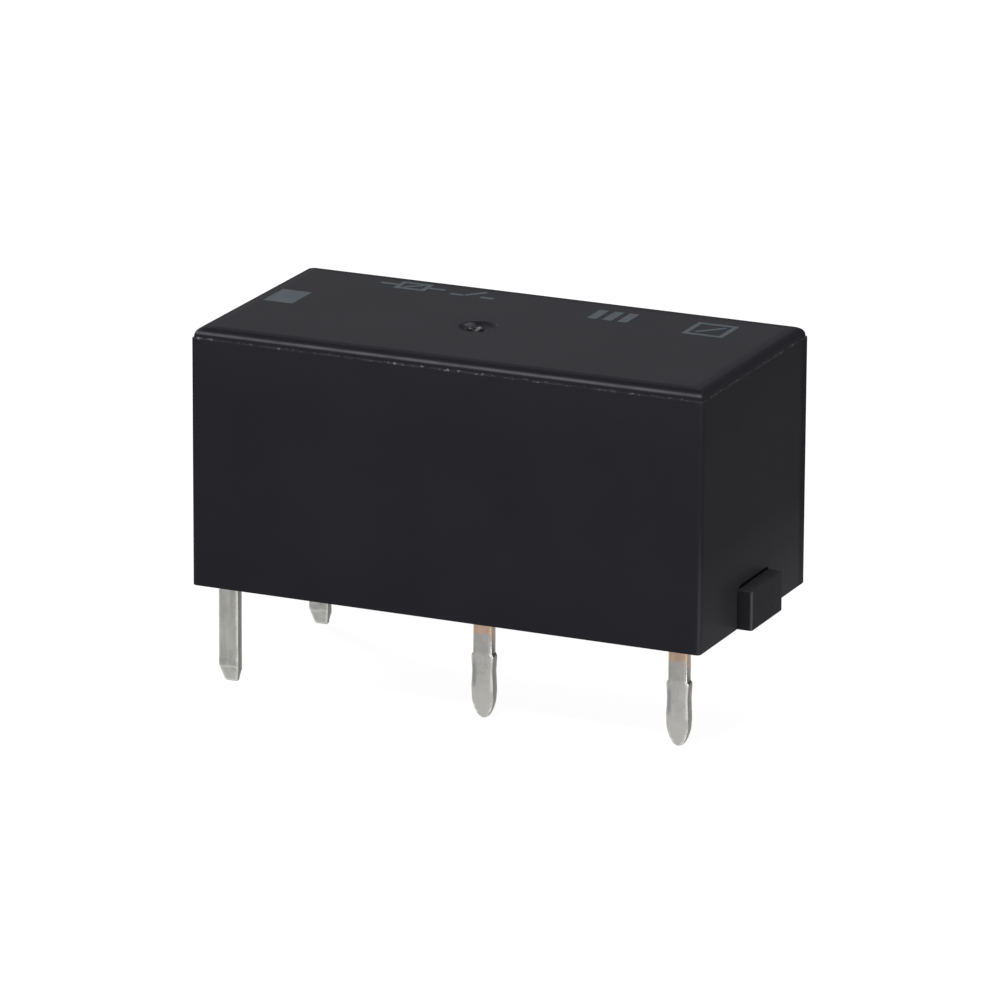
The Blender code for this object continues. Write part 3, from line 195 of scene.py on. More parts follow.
# Tones
COVER_SPECULAR = 0.005
COVER_DARK = (0.0094, 0.0094, 0.0113)
COVER_LIGHT = (0.0101, 0.0101, 0.0121)
# Painted highlight for the crown's front and back edges
EDGE_HIGHLIGHT = (0.048, 0.048, 0.051)
EDGE_SHADE = (0.0068, 0.0068, 0.0081)
# Painted highlight for the tab's upright edges
TAB_EDGE_HIGHLIGHT = (0.034, 0.034, 0.037)
# Painted light for the upright corners and the low end faces
LOW_PAINTED_LIGHT = (0.021, 0.021, 0.023)
# Painted highlight and glints along the ledge
LEDGE_HIGHLIGHT = (0.017, 0.017, 0.019)
LEDGE_GLINT = (0.10, 0.10, 0.103)
# Painted glints on the torn vent nib
TORN_GLINT = (0.11, 0.11, 0.112)
GLEAM_TONE = (0.034, 0.034, 0.036)
BASE_DARK = (0.0137, 0.0137, 0.0158)
BASE_LIGHT = (0.0158, 0.0158, 0.0181)
# Painted shade for the base's faces along Y
BASE_SHADED_SIDE = (0.0079, 0.0079, 0.0091)
TIN_DARK = (0.292, 0.291, 0.273)
TIN_LIGHT = (0.372, 0.371, 0.353)
CONTACT_DARK = (0.330, 0.326, 0.316)
CONTACT_LIGHT = (0.395, 0.390, 0.377)
# Painted shade on the left of the contact blades' waist
LEFT_PAINTED_SHADE = (0.215, 0.215, 0.235)
# Painted light on the coined points
TIP_PAINTED_LIGHT = (0.405, 0.400, 0.380)
TIN_STAIN = (0.21, 0.212, 0.203)
# Painted highlight for tin rims and creases
TIN_HIGHLIGHT = (0.53, 0.53, 0.505)
# Painted glints on the blades' rims near the point
RIM_GLINT = (0.66, 0.66, 0.64)
# Sheared side faces, painted darker as shade too; the lighter tone also colours the tin's spots
SHEARED_SHADED_DARK = (0.115, 0.110, 0.098)
SPOT_AND_SHEARED_SHADED_LIGHT = (0.190, 0.182, 0.165)
DULL_TIN = (0.30, 0.292, 0.278)
COPPER_DARK = (0.32, 0.213, 0.156)
COPPER_LIGHT = (0.435, 0.307, 0.246)
# Painted highlight for the copper's rounded rims
COPPER_RIM_HIGHLIGHT = (0.52, 0.39, 0.22)
PRINT_DARK = (0.0342, 0.0390, 0.0430)
PRINT_LIGHT = (0.0402, 0.0455, 0.0500)


# Node materials
class Finish:
    """A Principled material, with short calls that add nodes to it."""

    def __init__(self, name, metallic=0.0, roughness=0.5, specular=0.5):
        self.material = bpy.data.materials.new(name)
        self.material.use_nodes = True
        self.tree = self.material.node_tree
        self.shader = self.tree.nodes["Principled BSDF"]
        self.shader.inputs["Metallic"].default_value = metallic
        self.shader.inputs["Roughness"].default_value = roughness
        self.shader.inputs["Specular IOR Level"].default_value = specular
        self.place = self.tree.nodes.new("ShaderNodeTexCoord").outputs["Object"]
        self.height = None

    def wire(self, value, socket):
        """Link a node's output to a socket, or set a plain value on it."""
        if isinstance(value, bpy.types.NodeSocket):
            self.tree.links.new(value, socket)
        else:
            socket.default_value = value

    def stretched(self, scale):
        node = self.tree.nodes.new("ShaderNodeMapping")
        node.vector_type = "POINT"
        self.wire(self.place, node.inputs["Vector"])
        node.inputs["Scale"].default_value = scale
        return node.outputs["Vector"]

    def noise(self, per_mm, detail=3.0, stretch=None, rough=0.55, warp=0.0):
        node = self.tree.nodes.new("ShaderNodeTexNoise")
        self.wire(self.stretched(stretch) if stretch else self.place, node.inputs["Vector"])
        node.inputs["Scale"].default_value = per_mm / MM
        node.inputs["Detail"].default_value = detail
        node.inputs["Roughness"].default_value = rough
        node.inputs["Distortion"].default_value = warp
        return node.outputs["Fac"]

    def cells(self, per_mm):
        node = self.tree.nodes.new("ShaderNodeTexVoronoi")
        self.wire(self.place, node.inputs["Vector"])
        node.inputs["Scale"].default_value = per_mm / MM
        return node.outputs["Distance"]

    def axis(self, name):
        node = self.tree.nodes.new("ShaderNodeSeparateXYZ")
        self.wire(self.place, node.inputs[0])
        return node.outputs[name]

    def distance(self, point):
        node = self.tree.nodes.new("ShaderNodeVectorMath")
        node.operation = "DISTANCE"
        self.wire(self.place, node.inputs[0])
        node.inputs[1].default_value = point
        return node.outputs["Value"]

    def facing(self, name):
        """The size of one part of the surface's own normal, in the frame of the piece."""
        node = self.tree.nodes.new("ShaderNodeTexCoord")
        split = self.tree.nodes.new("ShaderNodeSeparateXYZ")
        self.wire(node.outputs["Normal"], split.inputs[0])
        return self.maths("ABSOLUTE", split.outputs[name])

    def maths(self, operation, first, second=0.0, clamp=False):
        node = self.tree.nodes.new("ShaderNodeMath")
        node.operation = operation
        node.use_clamp = clamp
        self.wire(first, node.inputs[0])
        if operation != "ABSOLUTE":
            self.wire(second, node.inputs[1])
        return node.outputs[0]

    def span(self, value, low, high, to_low=0.0, to_high=1.0):
        """Map a value's range from low to high onto another range, clamped."""
        node = self.tree.nodes.new("ShaderNodeMapRange")
        self.wire(value, node.inputs["Value"])
        limits = {"From Min": low, "From Max": high, "To Min": to_low, "To Max": to_high}
        for socket, number in limits.items():
            node.inputs[socket].default_value = number
        return node.outputs["Result"]

    def near(self, value, place, inner, outer):
        """One within the inner distance of a place, and nothing beyond the outer."""
        away = self.maths("ABSOLUTE", self.maths("SUBTRACT", value, place))
        return self.span(away, inner, outer, 1.0, 0.0)

    def blend(self, share, first, second):
        node = self.tree.nodes.new("ShaderNodeMix")
        node.data_type = "RGBA"
        sockets = [s for s in node.inputs if s.enabled]
        self.wire(share, sockets[0])
        for value, socket in ((first, sockets[1]), (second, sockets[2])):
            self.wire((*value, 1.0) if isinstance(value, tuple) else value, socket)
        return next(s for s in node.outputs if s.enabled)

    def colour(self, value):
        self.wire(value, self.shader.inputs["Base Color"])

    def roughness(self, value):
        self.wire(value, self.shader.inputs["Roughness"])

    def bump(self, height, depth, strength=1.0):
        """Add a relief of that depth in metres, on top of any that is there."""
        node = self.tree.nodes.new("ShaderNodeBump")
        node.inputs["Strength"].default_value = strength
        node.inputs["Distance"].default_value = depth
        self.wire(height, node.inputs["Height"])
        if self.height:
            self.wire(self.height, node.inputs["Normal"])
        self.height = node.outputs["Normal"]
        self.wire(self.height, self.shader.inputs["Normal"])


def cover_finish():
    """Satin moulded black, fine grain. Light and shade are painted into its colour: highlights on the
    crown edges, the upright corners, the ledge and the torn vent nib, a gleam in the vent, a darker shade
    band on the crown, and end faces lighter towards the bottom.
    """
    finish = Finish("cover_black", roughness=SATIN, specular=COVER_SPECULAR)
    cloud = finish.span(finish.noise(0.35, 4.0), 0.35, 0.65)
    base = finish.blend(cloud, COVER_DARK, COVER_LIGHT)
    height = finish.axis("Z")
    ledge = finish.near(height, LEDGE_Z, 0.02 * MM, 0.05 * MM)
    # Painted glints: bright specks along the ledge
    ledge_glints = finish.span(finish.noise(4.5, 5.0, rough=0.7), 0.55, 0.62)
    # Painted highlight: a lighter band on the crown's front and back edges where a lamp's highlight falls;
    # the band is also a little less rough
    highlight_band = finish.near(height, HIGHLIGHT_BAND_Z, 0.012 * MM, 0.065 * MM)
    highlight_band = finish.maths("MULTIPLY", highlight_band, finish.span(finish.facing("Y"), 0.3, 0.6))
    highlight_band = finish.maths("MULTIPLY", highlight_band, finish.span(finish.noise(0.9, 4.0), 0.3, 0.6, 0.6, 1.0))
    # Painted highlight on the upright corners, stronger towards the bottom
    corner = finish.maths("MULTIPLY", finish.facing("X"), finish.facing("Y"))
    corner = finish.maths("MULTIPLY", finish.span(corner, 0.2, 0.45), finish.span(height, 5 * MM, 1 * MM))
    # Painted light: the end faces lighter towards the bottom
    low_end_light = finish.maths("MULTIPLY", finish.facing("X"), finish.span(height, 3.6 * MM, 0.4 * MM, 0.0, 0.85))
    shade = finish.near(height, SHADE_Z, 0.03 * MM, 0.05 * MM)
    shade = finish.maths("MULTIPLY", shade, finish.span(finish.facing("Y"), 0.08, 0.2))
    tone = finish.blend(shade, finish.blend(low_end_light, base, LOW_PAINTED_LIGHT), EDGE_SHADE)
    tone = finish.blend(highlight_band, tone, EDGE_HIGHLIGHT)
    tone = finish.blend(corner, tone, LOW_PAINTED_LIGHT)
    broken = finish.span(finish.noise(1.3, 4.0), 0.4, 0.55, 0.25, 1.0)
    # Painted highlight: a broken lighter line along the ledge
    tone = finish.blend(finish.maths("MULTIPLY", ledge, broken), tone, LEDGE_HIGHLIGHT)
    ledge_glints = finish.maths("MULTIPLY", ledge_glints, finish.span(finish.facing("Y"), 0.0, 0.5, 0.3, 1.0))
    ledge_glints = finish.maths("MULTIPLY", ledge_glints, broken)
    tone = finish.blend(finish.maths("MULTIPLY", ledge, ledge_glints), tone, LEDGE_GLINT)
    # Painted glints: bright specks on the torn nib in the vent
    torn_glints = finish.span(finish.distance(TORN_PLACE), 0.17 * MM, 0.28 * MM, 1.0, 0.0)
    torn_glints = finish.maths("MULTIPLY", torn_glints, finish.span(finish.noise(6.0, 4.0, rough=0.7), 0.47, 0.6))
    gleam = finish.span(finish.distance(GLEAM_PLACE), 0.12 * MM, 0.34 * MM, 1.0, 0.0)
    gleam = finish.maths("MULTIPLY", gleam, finish.span(height, HEIGHT - 0.015 * MM, HEIGHT - 0.04 * MM))
    tone = finish.blend(gleam, tone, GLEAM_TONE)
    finish.colour(finish.blend(torn_glints, tone, TORN_GLINT))
    rear = finish.span(finish.axis("Y"), SIDE_Y - 0.75 * MM, SIDE_Y - 0.45 * MM, SATIN, DULL_CROWN)
    left = finish.span(finish.axis("X"), 0.5 * MM - END_X, 0.3 * MM - END_X, SATIN, DULL_CROWN)
    wall = finish.near(height, VENT_WALL_Z, 0.025 * MM, 0.035 * MM)
    vent = finish.span(finish.distance((*VENT_PLACE, HEIGHT)), 0.85 * MM, 0.9 * MM, 1.0, 0.0)
    dull = finish.span(finish.maths("MULTIPLY", wall, vent), 0.0, 1.0, SATIN, DULL_VENT)
    rough = finish.maths("MAXIMUM", finish.maths("MAXIMUM", rear, left), dull)
    finish.roughness(finish.maths("SUBTRACT", rough, finish.maths("MULTIPLY", highlight_band, 0.07)))
    finish.bump(finish.noise(18.0, 2.0), 0.0008 * MM, 0.5)
    return finish.material


def base_finish():
    """The same black in a coarser grain, painted darker as shade on its faces along Y, with a painted
    highlight on the tab's upright edges.
    """
    finish = Finish("base_black", specular=COVER_SPECULAR)
    base = finish.blend(finish.noise(0.6, 4.0), BASE_DARK, BASE_LIGHT)
    # Painted shade: faces along Y darker than those along X
    base = finish.blend(finish.span(finish.facing("Y"), 0.5, 0.9), base, BASE_SHADED_SIDE)
    # Painted highlight on the tab's upright edges
    corner = finish.span(finish.maths("MULTIPLY", finish.facing("X"), finish.facing("Y")), 0.2, 0.48)
    finish.colour(finish.blend(corner, base, TAB_EDGE_HIGHLIGHT))
    finish.roughness(finish.span(finish.noise(4.0, 3.0), 0.3, 0.7, 0.36, 0.46))
    finish.bump(finish.noise(10.0, 3.0), 0.002 * MM, 0.6)
    return finish.material


def resin_finish():
    """Dark cured resin: glossy, slightly uneven, with a few small bubbles."""
    finish = Finish("sealing_resin", specular=0.5)
    cloud = finish.noise(0.8, 4.0, warp=0.6)
    finish.colour(finish.blend(cloud, (0.016, 0.015, 0.013), (0.034, 0.031, 0.027)))
    finish.roughness(finish.span(finish.noise(1.5, 3.0), 0.35, 0.65, 0.14, 0.3))
    bubbles = finish.span(finish.cells(1.4), 0.05, 0.16)
    finish.bump(finish.noise(1.1, 2.0), 0.05 * MM, 0.35)
    finish.bump(bubbles, 0.02 * MM, 0.4)
    return finish.material


def tin_layers(finish, dark=TIN_DARK, light=TIN_LIGHT):
    """Dipped tin: soft streaks and spots, painted highlights on the rounded rims, and sheared side faces
    painted darker, partly as shade.
    """
    streaks = finish.noise(1.5, 4.0, stretch=(2.2, 2.2, 0.55), warp=0.5)
    spots = finish.span(finish.noise(5.5, 3.0), 0.55, 0.72)
    tin = finish.blend(finish.span(streaks, 0.35, 0.65), dark, light)
    tin = finish.blend(finish.maths("MULTIPLY", spots, 0.3), tin, SPOT_AND_SHEARED_SHADED_LIGHT)
    # Painted highlight on the blades' rounded rims
    rim_highlight = finish.near(finish.facing("Y"), 0.87, 0.06, 0.12)
    rim_highlight = finish.maths("MULTIPLY", rim_highlight, finish.span(finish.noise(2.2, 4.0), 0.3, 0.6, 0.35, 1.0))
    tin = finish.blend(rim_highlight, tin, TIN_HIGHLIGHT)
    # Sheared side faces: their own drawn tone, painted darker as shade as well
    sheared_shaded = finish.span(finish.facing("X"), 0.62, 0.85)
    drawn = finish.noise(6.0, 3.0, stretch=(1, 1, 0.3))
    return finish.blend(sheared_shaded, tin, finish.blend(drawn, SHEARED_SHADED_DARK, SPOT_AND_SHEARED_SHADED_LIGHT))


def tin_bumps(finish):
    """The uneven gloss and the soft and fine relief of dipped tin."""
    finish.roughness(finish.span(finish.noise(3.2, 4.0), 0.3, 0.7, 0.3, 0.44))
    finish.bump(finish.noise(1.7, 3.0, stretch=(1, 1, 0.6)), 0.03 * MM, 0.22)
    finish.bump(finish.noise(12.0, 2.0), 0.003 * MM, 0.35)


def tin_finish():
    """The coil blades' tin, with a stain above the tip and a painted highlight along its crease."""
    finish = Finish("tinned_copper", metallic=1.0)
    stain = finish.near(finish.axis("Z"), STAIN_Z, 0.1 * MM, 0.45 * MM)
    stain = finish.maths("MULTIPLY", stain, finish.span(finish.noise(2.6, 5.0, rough=0.65), 0.42, 0.64))
    tin = finish.blend(stain, tin_layers(finish), TIN_STAIN)
    # Painted highlight: a wavy bright line along the crease
    wave = finish.maths("MULTIPLY", finish.maths("SUBTRACT", finish.noise(1.4, 3.0), 0.5), 0.3 * MM)
    crease = finish.near(finish.maths("ADD", finish.axis("Z"), wave), COIL_CREASE_Z, 0.01 * MM, 0.07 * MM)
    crease = finish.maths("MULTIPLY", crease, finish.span(finish.facing("Y"), 0.6, 0.9, 0.0, 0.6))
    finish.colour(finish.blend(crease, tin, TIN_HIGHLIGHT))
    tin_bumps(finish)
    return finish.material


def copper_finish():
    """Bare copper above a ragged tin line, dull just under it and clean below the shoulder; painted light
    on the points and rims, painted glints on the rims near the point, and painted shade on the left of the
    waist and on the sheared sides.
    """
    finish = Finish("copper_alloy", metallic=1.0)
    height = finish.axis("Z")
    # Painted light: the coined points of the contact blades lighter on their wide faces
    tip_light = finish.span(height, CREASE_Z + 0.3 * MM, CREASE_Z - 0.3 * MM)
    tip_light = finish.maths("MULTIPLY", tip_light, finish.facing("Y"))
    tin = finish.blend(tip_light, tin_layers(finish, CONTACT_DARK, CONTACT_LIGHT), TIP_PAINTED_LIGHT)
    # Painted shade: a bluish dark band on the left of each contact blade's waist
    left_shade = finish.maths(
        "MAXIMUM",
        finish.near(finish.axis("X"), FIXED_X - 0.31 * MM, 0.02 * MM, 0.13 * MM),
        finish.near(finish.axis("X"), MOVING_X - 0.31 * MM, 0.02 * MM, 0.13 * MM),
    )
    waist_z = (SHOULDER_Z + CREASE_Z) / 2 - 0.1 * MM
    left_shade = finish.maths("MULTIPLY", left_shade, finish.near(height, waist_z, 0.3 * MM, 0.6 * MM))
    tin = finish.blend(finish.maths("MULTIPLY", left_shade, 0.8), tin, LEFT_PAINTED_SHADE)
    # Painted glints: light specks on the rounded rims near the point
    rim_glints = finish.near(finish.facing("Y"), 0.84, 0.11, 0.15)
    rim_glints = finish.maths("MULTIPLY", rim_glints, finish.span(height, -3.05 * MM, -3.4 * MM))
    grains = finish.span(finish.noise(9.0, 4.0, rough=0.7), 0.46, 0.58)
    rim_glints = finish.maths("MULTIPLY", rim_glints, grains)
    tin = finish.blend(rim_glints, tin, RIM_GLINT)
    ragged = finish.maths("MULTIPLY", finish.maths("SUBTRACT", finish.noise(2.4, 4.0), 0.5), 0.28 * MM)
    level = finish.maths("ADD", height, ragged)
    side = finish.maths("MULTIPLY", finish.span(finish.facing("X"), 0.5, 0.8), 0.25 * MM)
    tinned = finish.span(finish.maths("ADD", level, side), *TIN_LINE)
    dull = finish.span(level, *DULL_LINE, 1.0, 0.0)
    patches = finish.span(finish.noise(3.0, 4.0), 0.35, 0.65, 0.5, 1.0)
    below = finish.blend(finish.maths("MULTIPLY", dull, patches), tin, DULL_TIN)
    # The sheared side faces below the tin line, painted darker as shade as well
    sheared_shaded = finish.span(finish.facing("X"), 0.62, 0.85)
    below = finish.blend(finish.maths("MULTIPLY", sheared_shaded, 0.8), below, SPOT_AND_SHEARED_SHADED_LIGHT)
    copper = finish.blend(
        finish.span(finish.noise(2.0, 4.0, stretch=(1, 1, 0.5)), 0.35, 0.65),
        COPPER_DARK,
        COPPER_LIGHT,
    )
    # Painted highlight on the copper's rounded rims
    copper = finish.blend(finish.near(finish.facing("Y"), 0.8, 0.1, 0.17), copper, COPPER_RIM_HIGHLIGHT)
    copper = finish.blend(finish.maths("MULTIPLY", sheared_shaded, 0.5), copper, SPOT_AND_SHEARED_SHADED_LIGHT)
    finish.colour(finish.blend(tinned, copper, below))
    tin_bumps(finish)
    return finish.material


def print_finish():
    """Thin grey pad print, slightly uneven in its cover."""
    finish = Finish("pad_print", specular=COVER_SPECULAR)
    patchy = finish.span(finish.noise(2.4, 4.0), 0.3, 0.7)
    finish.colour(finish.blend(patchy, PRINT_DARK, PRINT_LIGHT))
    finish.roughness(finish.span(finish.noise(6.0, 3.0), 0.3, 0.7, 0.5, 0.68))
    finish.bump(finish.noise(9.0, 2.0), 0.002 * MM, 0.5)
    return finish.material


def plain_finish(name, dark, light, rough, grain, depth, metallic=0.0, stretch=None):
    """A finish of two mixed tones, with its own roughness range, grain size and relief."""
    finish = Finish(name, metallic=metallic)
    cloud = finish.noise(0.25 * grain, 4.0, stretch=stretch)
    finish.colour(finish.blend(finish.span(cloud, 0.3, 0.7), dark, light))
    finish.roughness(finish.span(finish.noise(0.6 * grain, 3.0, stretch=stretch), 0.3, 0.7, *rough))
    finish.bump(finish.noise(grain, 3.0, stretch=stretch), depth, 0.5)
    return finish


def winding_finish():
    """Enamelled wire: the tone varies from turn to turn, with dark lines between."""
    finish = plain_finish(
        "enamelled_copper", (0.42, 0.15, 0.05), (0.62, 0.27, 0.11), (0.2, 0.36), 6.0, 0.004 * MM, 0.85,
    )
    wave = finish.tree.nodes.new("ShaderNodeTexWave")
    wave.bands_direction = "X"
    finish.wire(finish.place, wave.inputs["Vector"])
    wave.inputs["Scale"].default_value = 1.6 / MM
    wave.inputs["Distortion"].default_value = 0.4
    finish.bump(wave.outputs["Fac"], 0.02 * MM, 0.6)
    return finish.material


def tape_finish():
    """Amber film with soft wrinkles round the coil."""
    finish = plain_finish(
        "polyester_tape", (0.34, 0.23, 0.03), (0.45, 0.32, 0.06), (0.22, 0.38), 2.0, 0.02 * MM,
    )
    wrinkles = finish.noise(1.2, 4.0, stretch=(2.6, 0.5, 0.5), warp=0.8)
    finish.bump(wrinkles, 0.05 * MM, 0.4)
    return finish.material


FINISHES = {
    "cover_black": cover_finish(),
    "base_black": base_finish(),
    "sealing_resin": resin_finish(),
    "tinned_copper": tin_finish(),
    "copper_alloy": copper_finish(),
    "enamelled_copper": winding_finish(),
    "polyester_tape": tape_finish(),
    "plated_iron": plain_finish(
        "plated_iron", (0.50, 0.49, 0.45), (0.64, 0.63, 0.59), (0.26, 0.44), 5.0, 0.005 * MM, 1.0,
        stretch=(1, 1.6, 1),
    ).material,
    "bobbin_nylon": plain_finish(
        "bobbin_nylon", (0.47, 0.455, 0.40), (0.55, 0.535, 0.48), (0.4, 0.56), 4.0, 0.006 * MM,
    ).material,
    "spring_bronze": plain_finish(
        "spring_bronze", (0.62, 0.42, 0.22), (0.74, 0.53, 0.31), (0.22, 0.36), 9.0, 0.002 * MM, 1.0,
        stretch=(0.3, 2.4, 2.4),
    ).material,
    "silver_contact": plain_finish(
        "silver_contact", (0.76, 0.75, 0.71), (0.90, 0.89, 0.86), (0.2, 0.34), 6.0, 0.004 * MM, 1.0,
    ).material,
    "card_plastic": plain_finish(
        "card_plastic", (0.50, 0.485, 0.445), (0.58, 0.565, 0.53), (0.42, 0.58), 5.0, 0.005 * MM,
    ).material,
}
PRINT = print_finish()

for node in frame["nodes"].values():
    for slot in node.material_slots:
        slot.material = FINISHES[slot.material.name.split(".")[0]]


# Mesh building blocks
def new_piece(name, bm, material):
    mesh = bpy.data.meshes.new(name)
    bmesh.ops.recalc_face_normals(bm, faces=bm.faces)
    bm.to_mesh(mesh)
    bm.free()
    piece = bpy.data.objects.new(name, mesh)
    bpy.context.scene.collection.objects.link(piece)
    if material:
        mesh.materials.append(material)
    return piece


def loft(rings, close=True):
    """Skin a row of rings that have the same number of points."""
    bm = bmesh.new()
    loops = [[bm.verts.new(point) for point in ring] for ring in rings]
    for upper, lower in zip(loops, loops[1:]):
        for i in range(len(upper)):
            j = (i + 1) % len(upper)
            bm.faces.new((upper[i], upper[j], lower[j], lower[i]))
    if close:
        bm.faces.new(loops[0])
        bm.faces.new(reversed(loops[-1]))
    return bm


def arc(centre, radius, start, stop, steps):
    angles = [math.radians(start + (stop - start) * i / steps) for i in range(steps + 1)]
    return [(centre[0] + radius * math.cos(a), centre[1] + radius * math.sin(a)) for a in angles]


def round_rectangle(low, high, radius, steps, cuts=None):
    """A rectangle with round corners, anticlockwise, its sides cut into (along X, along Y)."""
    (x0, y0), (x1, y1) = low, high
    corners = (
        arc((x1 - radius, y0 + radius), radius, -90, 0, steps),
        arc((x1 - radius, y1 - radius), radius, 0, 90, steps),
        arc((x0 + radius, y1 - radius), radius, 90, 180, steps),
        arc((x0 + radius, y0 + radius), radius, 180, 270, steps),
    )
    if cuts is None:
        return [point for corner in corners for point in corner]
    counts = (cuts[1], cuts[0], cuts[1], cuts[0])
    outline = []
    for index, corner in enumerate(corners):
        outline += corner
        start, stop = corner[-1], corners[(index + 1) % 4][0]
        for step in range(1, counts[index]):
            share = step / counts[index]
            outline.append(tuple(a + share * (b - a) for a, b in zip(start, stop)))
    return outline


def prism(name, outline, low, high):
    """An upright solid on a flat outline, for cutting."""
    rings = [[(x, y, high) for x, y in outline], [(x, y, low) for x, y in outline]]
    return new_piece(name, loft(rings), None)


def block(name, low, high, radius=None, segments=3):
    outline = [(low[0], low[1]), (high[0], low[1]), (high[0], high[1]), (low[0], high[1])]
    if radius:
        outline = round_rectangle(low[:2], high[:2], radius, segments)
    return prism(name, outline, low[2], high[2])


def turned(name, profile, steps, place):
    """A profile of (radius, height) points about an upright axis, closed at both ends."""
    angles = [2 * math.pi * i / steps for i in range(steps)]
    rings = [
        [(place[0] + radius * math.cos(a), place[1] + radius * math.sin(a), z) for a in angles]
        for radius, z in profile
    ]
    return new_piece(name, loft(rings), None)


def apply_modifiers(piece):
    depsgraph = bpy.context.evaluated_depsgraph_get()
    mesh = bpy.data.meshes.new_from_object(piece.evaluated_get(depsgraph))
    old = piece.data
    piece.modifiers.clear()
    piece.data = mesh
    bpy.data.meshes.remove(old)


def combine(piece, others, operation="DIFFERENCE"):
    """Boolean the others into a piece, one after another, and drop them."""
    for other in others:
        boolean = piece.modifiers.new(other.name, "BOOLEAN")
        boolean.operation = operation
        boolean.solver = "EXACT"
        boolean.object = other
        apply_modifiers(piece)
        bpy.data.objects.remove(other, do_unlink=True)
    return piece


def smooth(piece, angle=30):
    piece.data.shade_smooth()
    piece.data.set_sharp_from_angle(angle=math.radians(angle))


def weigh_normals(piece):
    """Let large flat faces set the shading where they meet small ones."""
    weighted = piece.modifiers.new("weighted", "WEIGHTED_NORMAL")
    weighted.keep_sharp = True
    weighted.weight = 100
    apply_modifiers(piece)


def cad_copy(name, node):
    """A welded copy of a CAD node's mesh, as a new piece."""
    mesh = frame["nodes"][node].data.copy()
    mesh.name = name
    bm = bmesh.new()
    bm.from_mesh(mesh)
    bmesh.ops.remove_doubles(bm, verts=bm.verts, dist=1e-7)
    bm.to_mesh(mesh)
    bm.free()
    if "custom_normal" in mesh.attributes:
        mesh.attributes.remove(mesh.attributes["custom_normal"])
    piece = bpy.data.objects.new(name, mesh)
    bpy.context.scene.collection.objects.link(piece)
    return piece


def finish_piece(piece, body, replaced=()):
    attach(piece, body)
    if replaced:
        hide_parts(*replaced)
    return piece


# Cover
def cover_profile():
    """Inset from the cover's sides, height and unevenness, from the lower rim to the top."""
    body_top = HEIGHT - CROWN_HEIGHT
    lip = LEDGE_LIP
    profile = [(0.02 * MM, 0.0, 0.0), (0.005 * MM, 0.012 * MM, 0.0), (0.0, 0.04 * MM, 0.0)]
    profile += [(0.0, share * (body_top - lip), 0.0) for share in (0.25, 0.5, 0.75)]
    profile += [
        (0.0, body_top - lip, 0.0),
        (0.3 * lip, body_top - 0.3 * lip, 0.4),
        (lip, body_top, 1.0),
        (CROWN_STEP, body_top + 0.01 * MM, 0.5),
    ]
    edge_middle = HEIGHT - top_fall(CAMBER_INSET - BEND - BEVEL) - CROWN_RADIUS * math.cos(CAMBER_ANGLE)
    steps = 10
    for step in range(steps + 1):
        tilt = math.pi / 2 + (CAMBER_ANGLE - math.pi / 2) * step / steps
        inset = CROWN_STEP + CROWN_RADIUS * (1 - math.sin(tilt))
        profile.append((inset, edge_middle + CROWN_RADIUS * math.cos(tilt), 0.0))
    steps = 6
    for step in range(steps + 1):
        inset = CAMBER_INSET - CAMBER_RADIUS * math.sin(CAMBER_ANGLE * (1 - step / steps))
        profile.append((inset, HEIGHT - top_fall(inset), 0.0))
    return profile


def top_fall(inset):
    """How far the cambered top has fallen, at an inset from the sides."""
    reach = max(CAMBER_INSET - inset, 0)
    slope = max(reach - BEND, 0) * math.tan(CAMBER_ANGLE)
    return CAMBER_RADIUS * (1 - math.sqrt(1 - (min(reach, BEND) / CAMBER_RADIUS) ** 2)) + slope


def cover_outer():
    rings = []
    for inset, z, uneven in cover_profile():
        radius = CORNER_RADIUS + CORNER_GROWTH * max(inset - CROWN_STEP, 0)
        half_x, half_y = END_X - inset, SIDE_Y - inset
        outline = round_rectangle((-half_x, -half_y), (half_x, half_y), radius, 6, (125, 61))
        ring = []
        for x, y in outline:
            chip = noise.noise(Vector((x, y, z)) * 2600) * uneven
            push = 1 - 0.012 * MM * max(chip, 0) / SIDE_Y
            ring.append((x * push, y * push, z - PRINT_THICKNESS * (inset > CROWN_STEP + CROWN_RADIUS)))
        rings.append(ring)
    return new_piece("cover_shell", loft(rings), FINISHES["cover_black"])


def vent_cutter():
    """The dish round the sealed vent: gentle on its left, with a torn nib left in its middle."""
    steps = 64
    rings = []
    profile = (
        (1.0, 1.0, 0.5 * MM, 0.0), (1.0, 1.0, 0.006 * MM, 0.0), (0.975, 0.93, -0.008 * MM, 0.0),
        (0.92, 0.84, -0.028 * MM, 0.0), (0.84, 0.75, -0.055 * MM, 0.0), (0.76, 0.66, -0.074 * MM, 0.0),
        (0.68, 0.6, -0.083 * MM, 0.0), (0.6, 0.56, -VENT_DEPTH, 0.0), (0.52, 0.5, -0.09 * MM, 0.2),
        (0.42, 0.42, -0.13 * MM, 0.3), (0.37, 0.37, -0.11 * MM, 0.6), (0.33, 0.33, -0.03 * MM, 1.0),
        (0.27, 0.27, -0.004 * MM, 1.4), (0.18, 0.18, -0.02 * MM, 1.6), (0.08, 0.08, -0.05 * MM, 1.0),
    )
    for right, left, drop, uneven in profile:
        shift = TORN_SHIFT * min(max((0.64 - right) / 0.2, 0), 1)
        ring = []
        for i in range(steps):
            angle = 2 * math.pi * i / steps
            wobble = noise.noise(Vector((math.cos(angle), math.sin(angle), 3 * right)) * 2.6)
            share = right + (left - right) * max(-math.cos(angle - 0.5), 0)
            radius = VENT_RADIUS * share * (1 + 0.25 * uneven * wobble)
            x = VENT_PLACE.x + shift.x + radius * math.cos(angle)
            y = VENT_PLACE.y + shift.y + radius * math.sin(angle)
            ring.append((x, y, HEIGHT - PRINT_THICKNESS + drop + 0.05 * MM * uneven * wobble))
        rings.append(ring)
    return new_piece("vent_cutter", loft(rings), None)


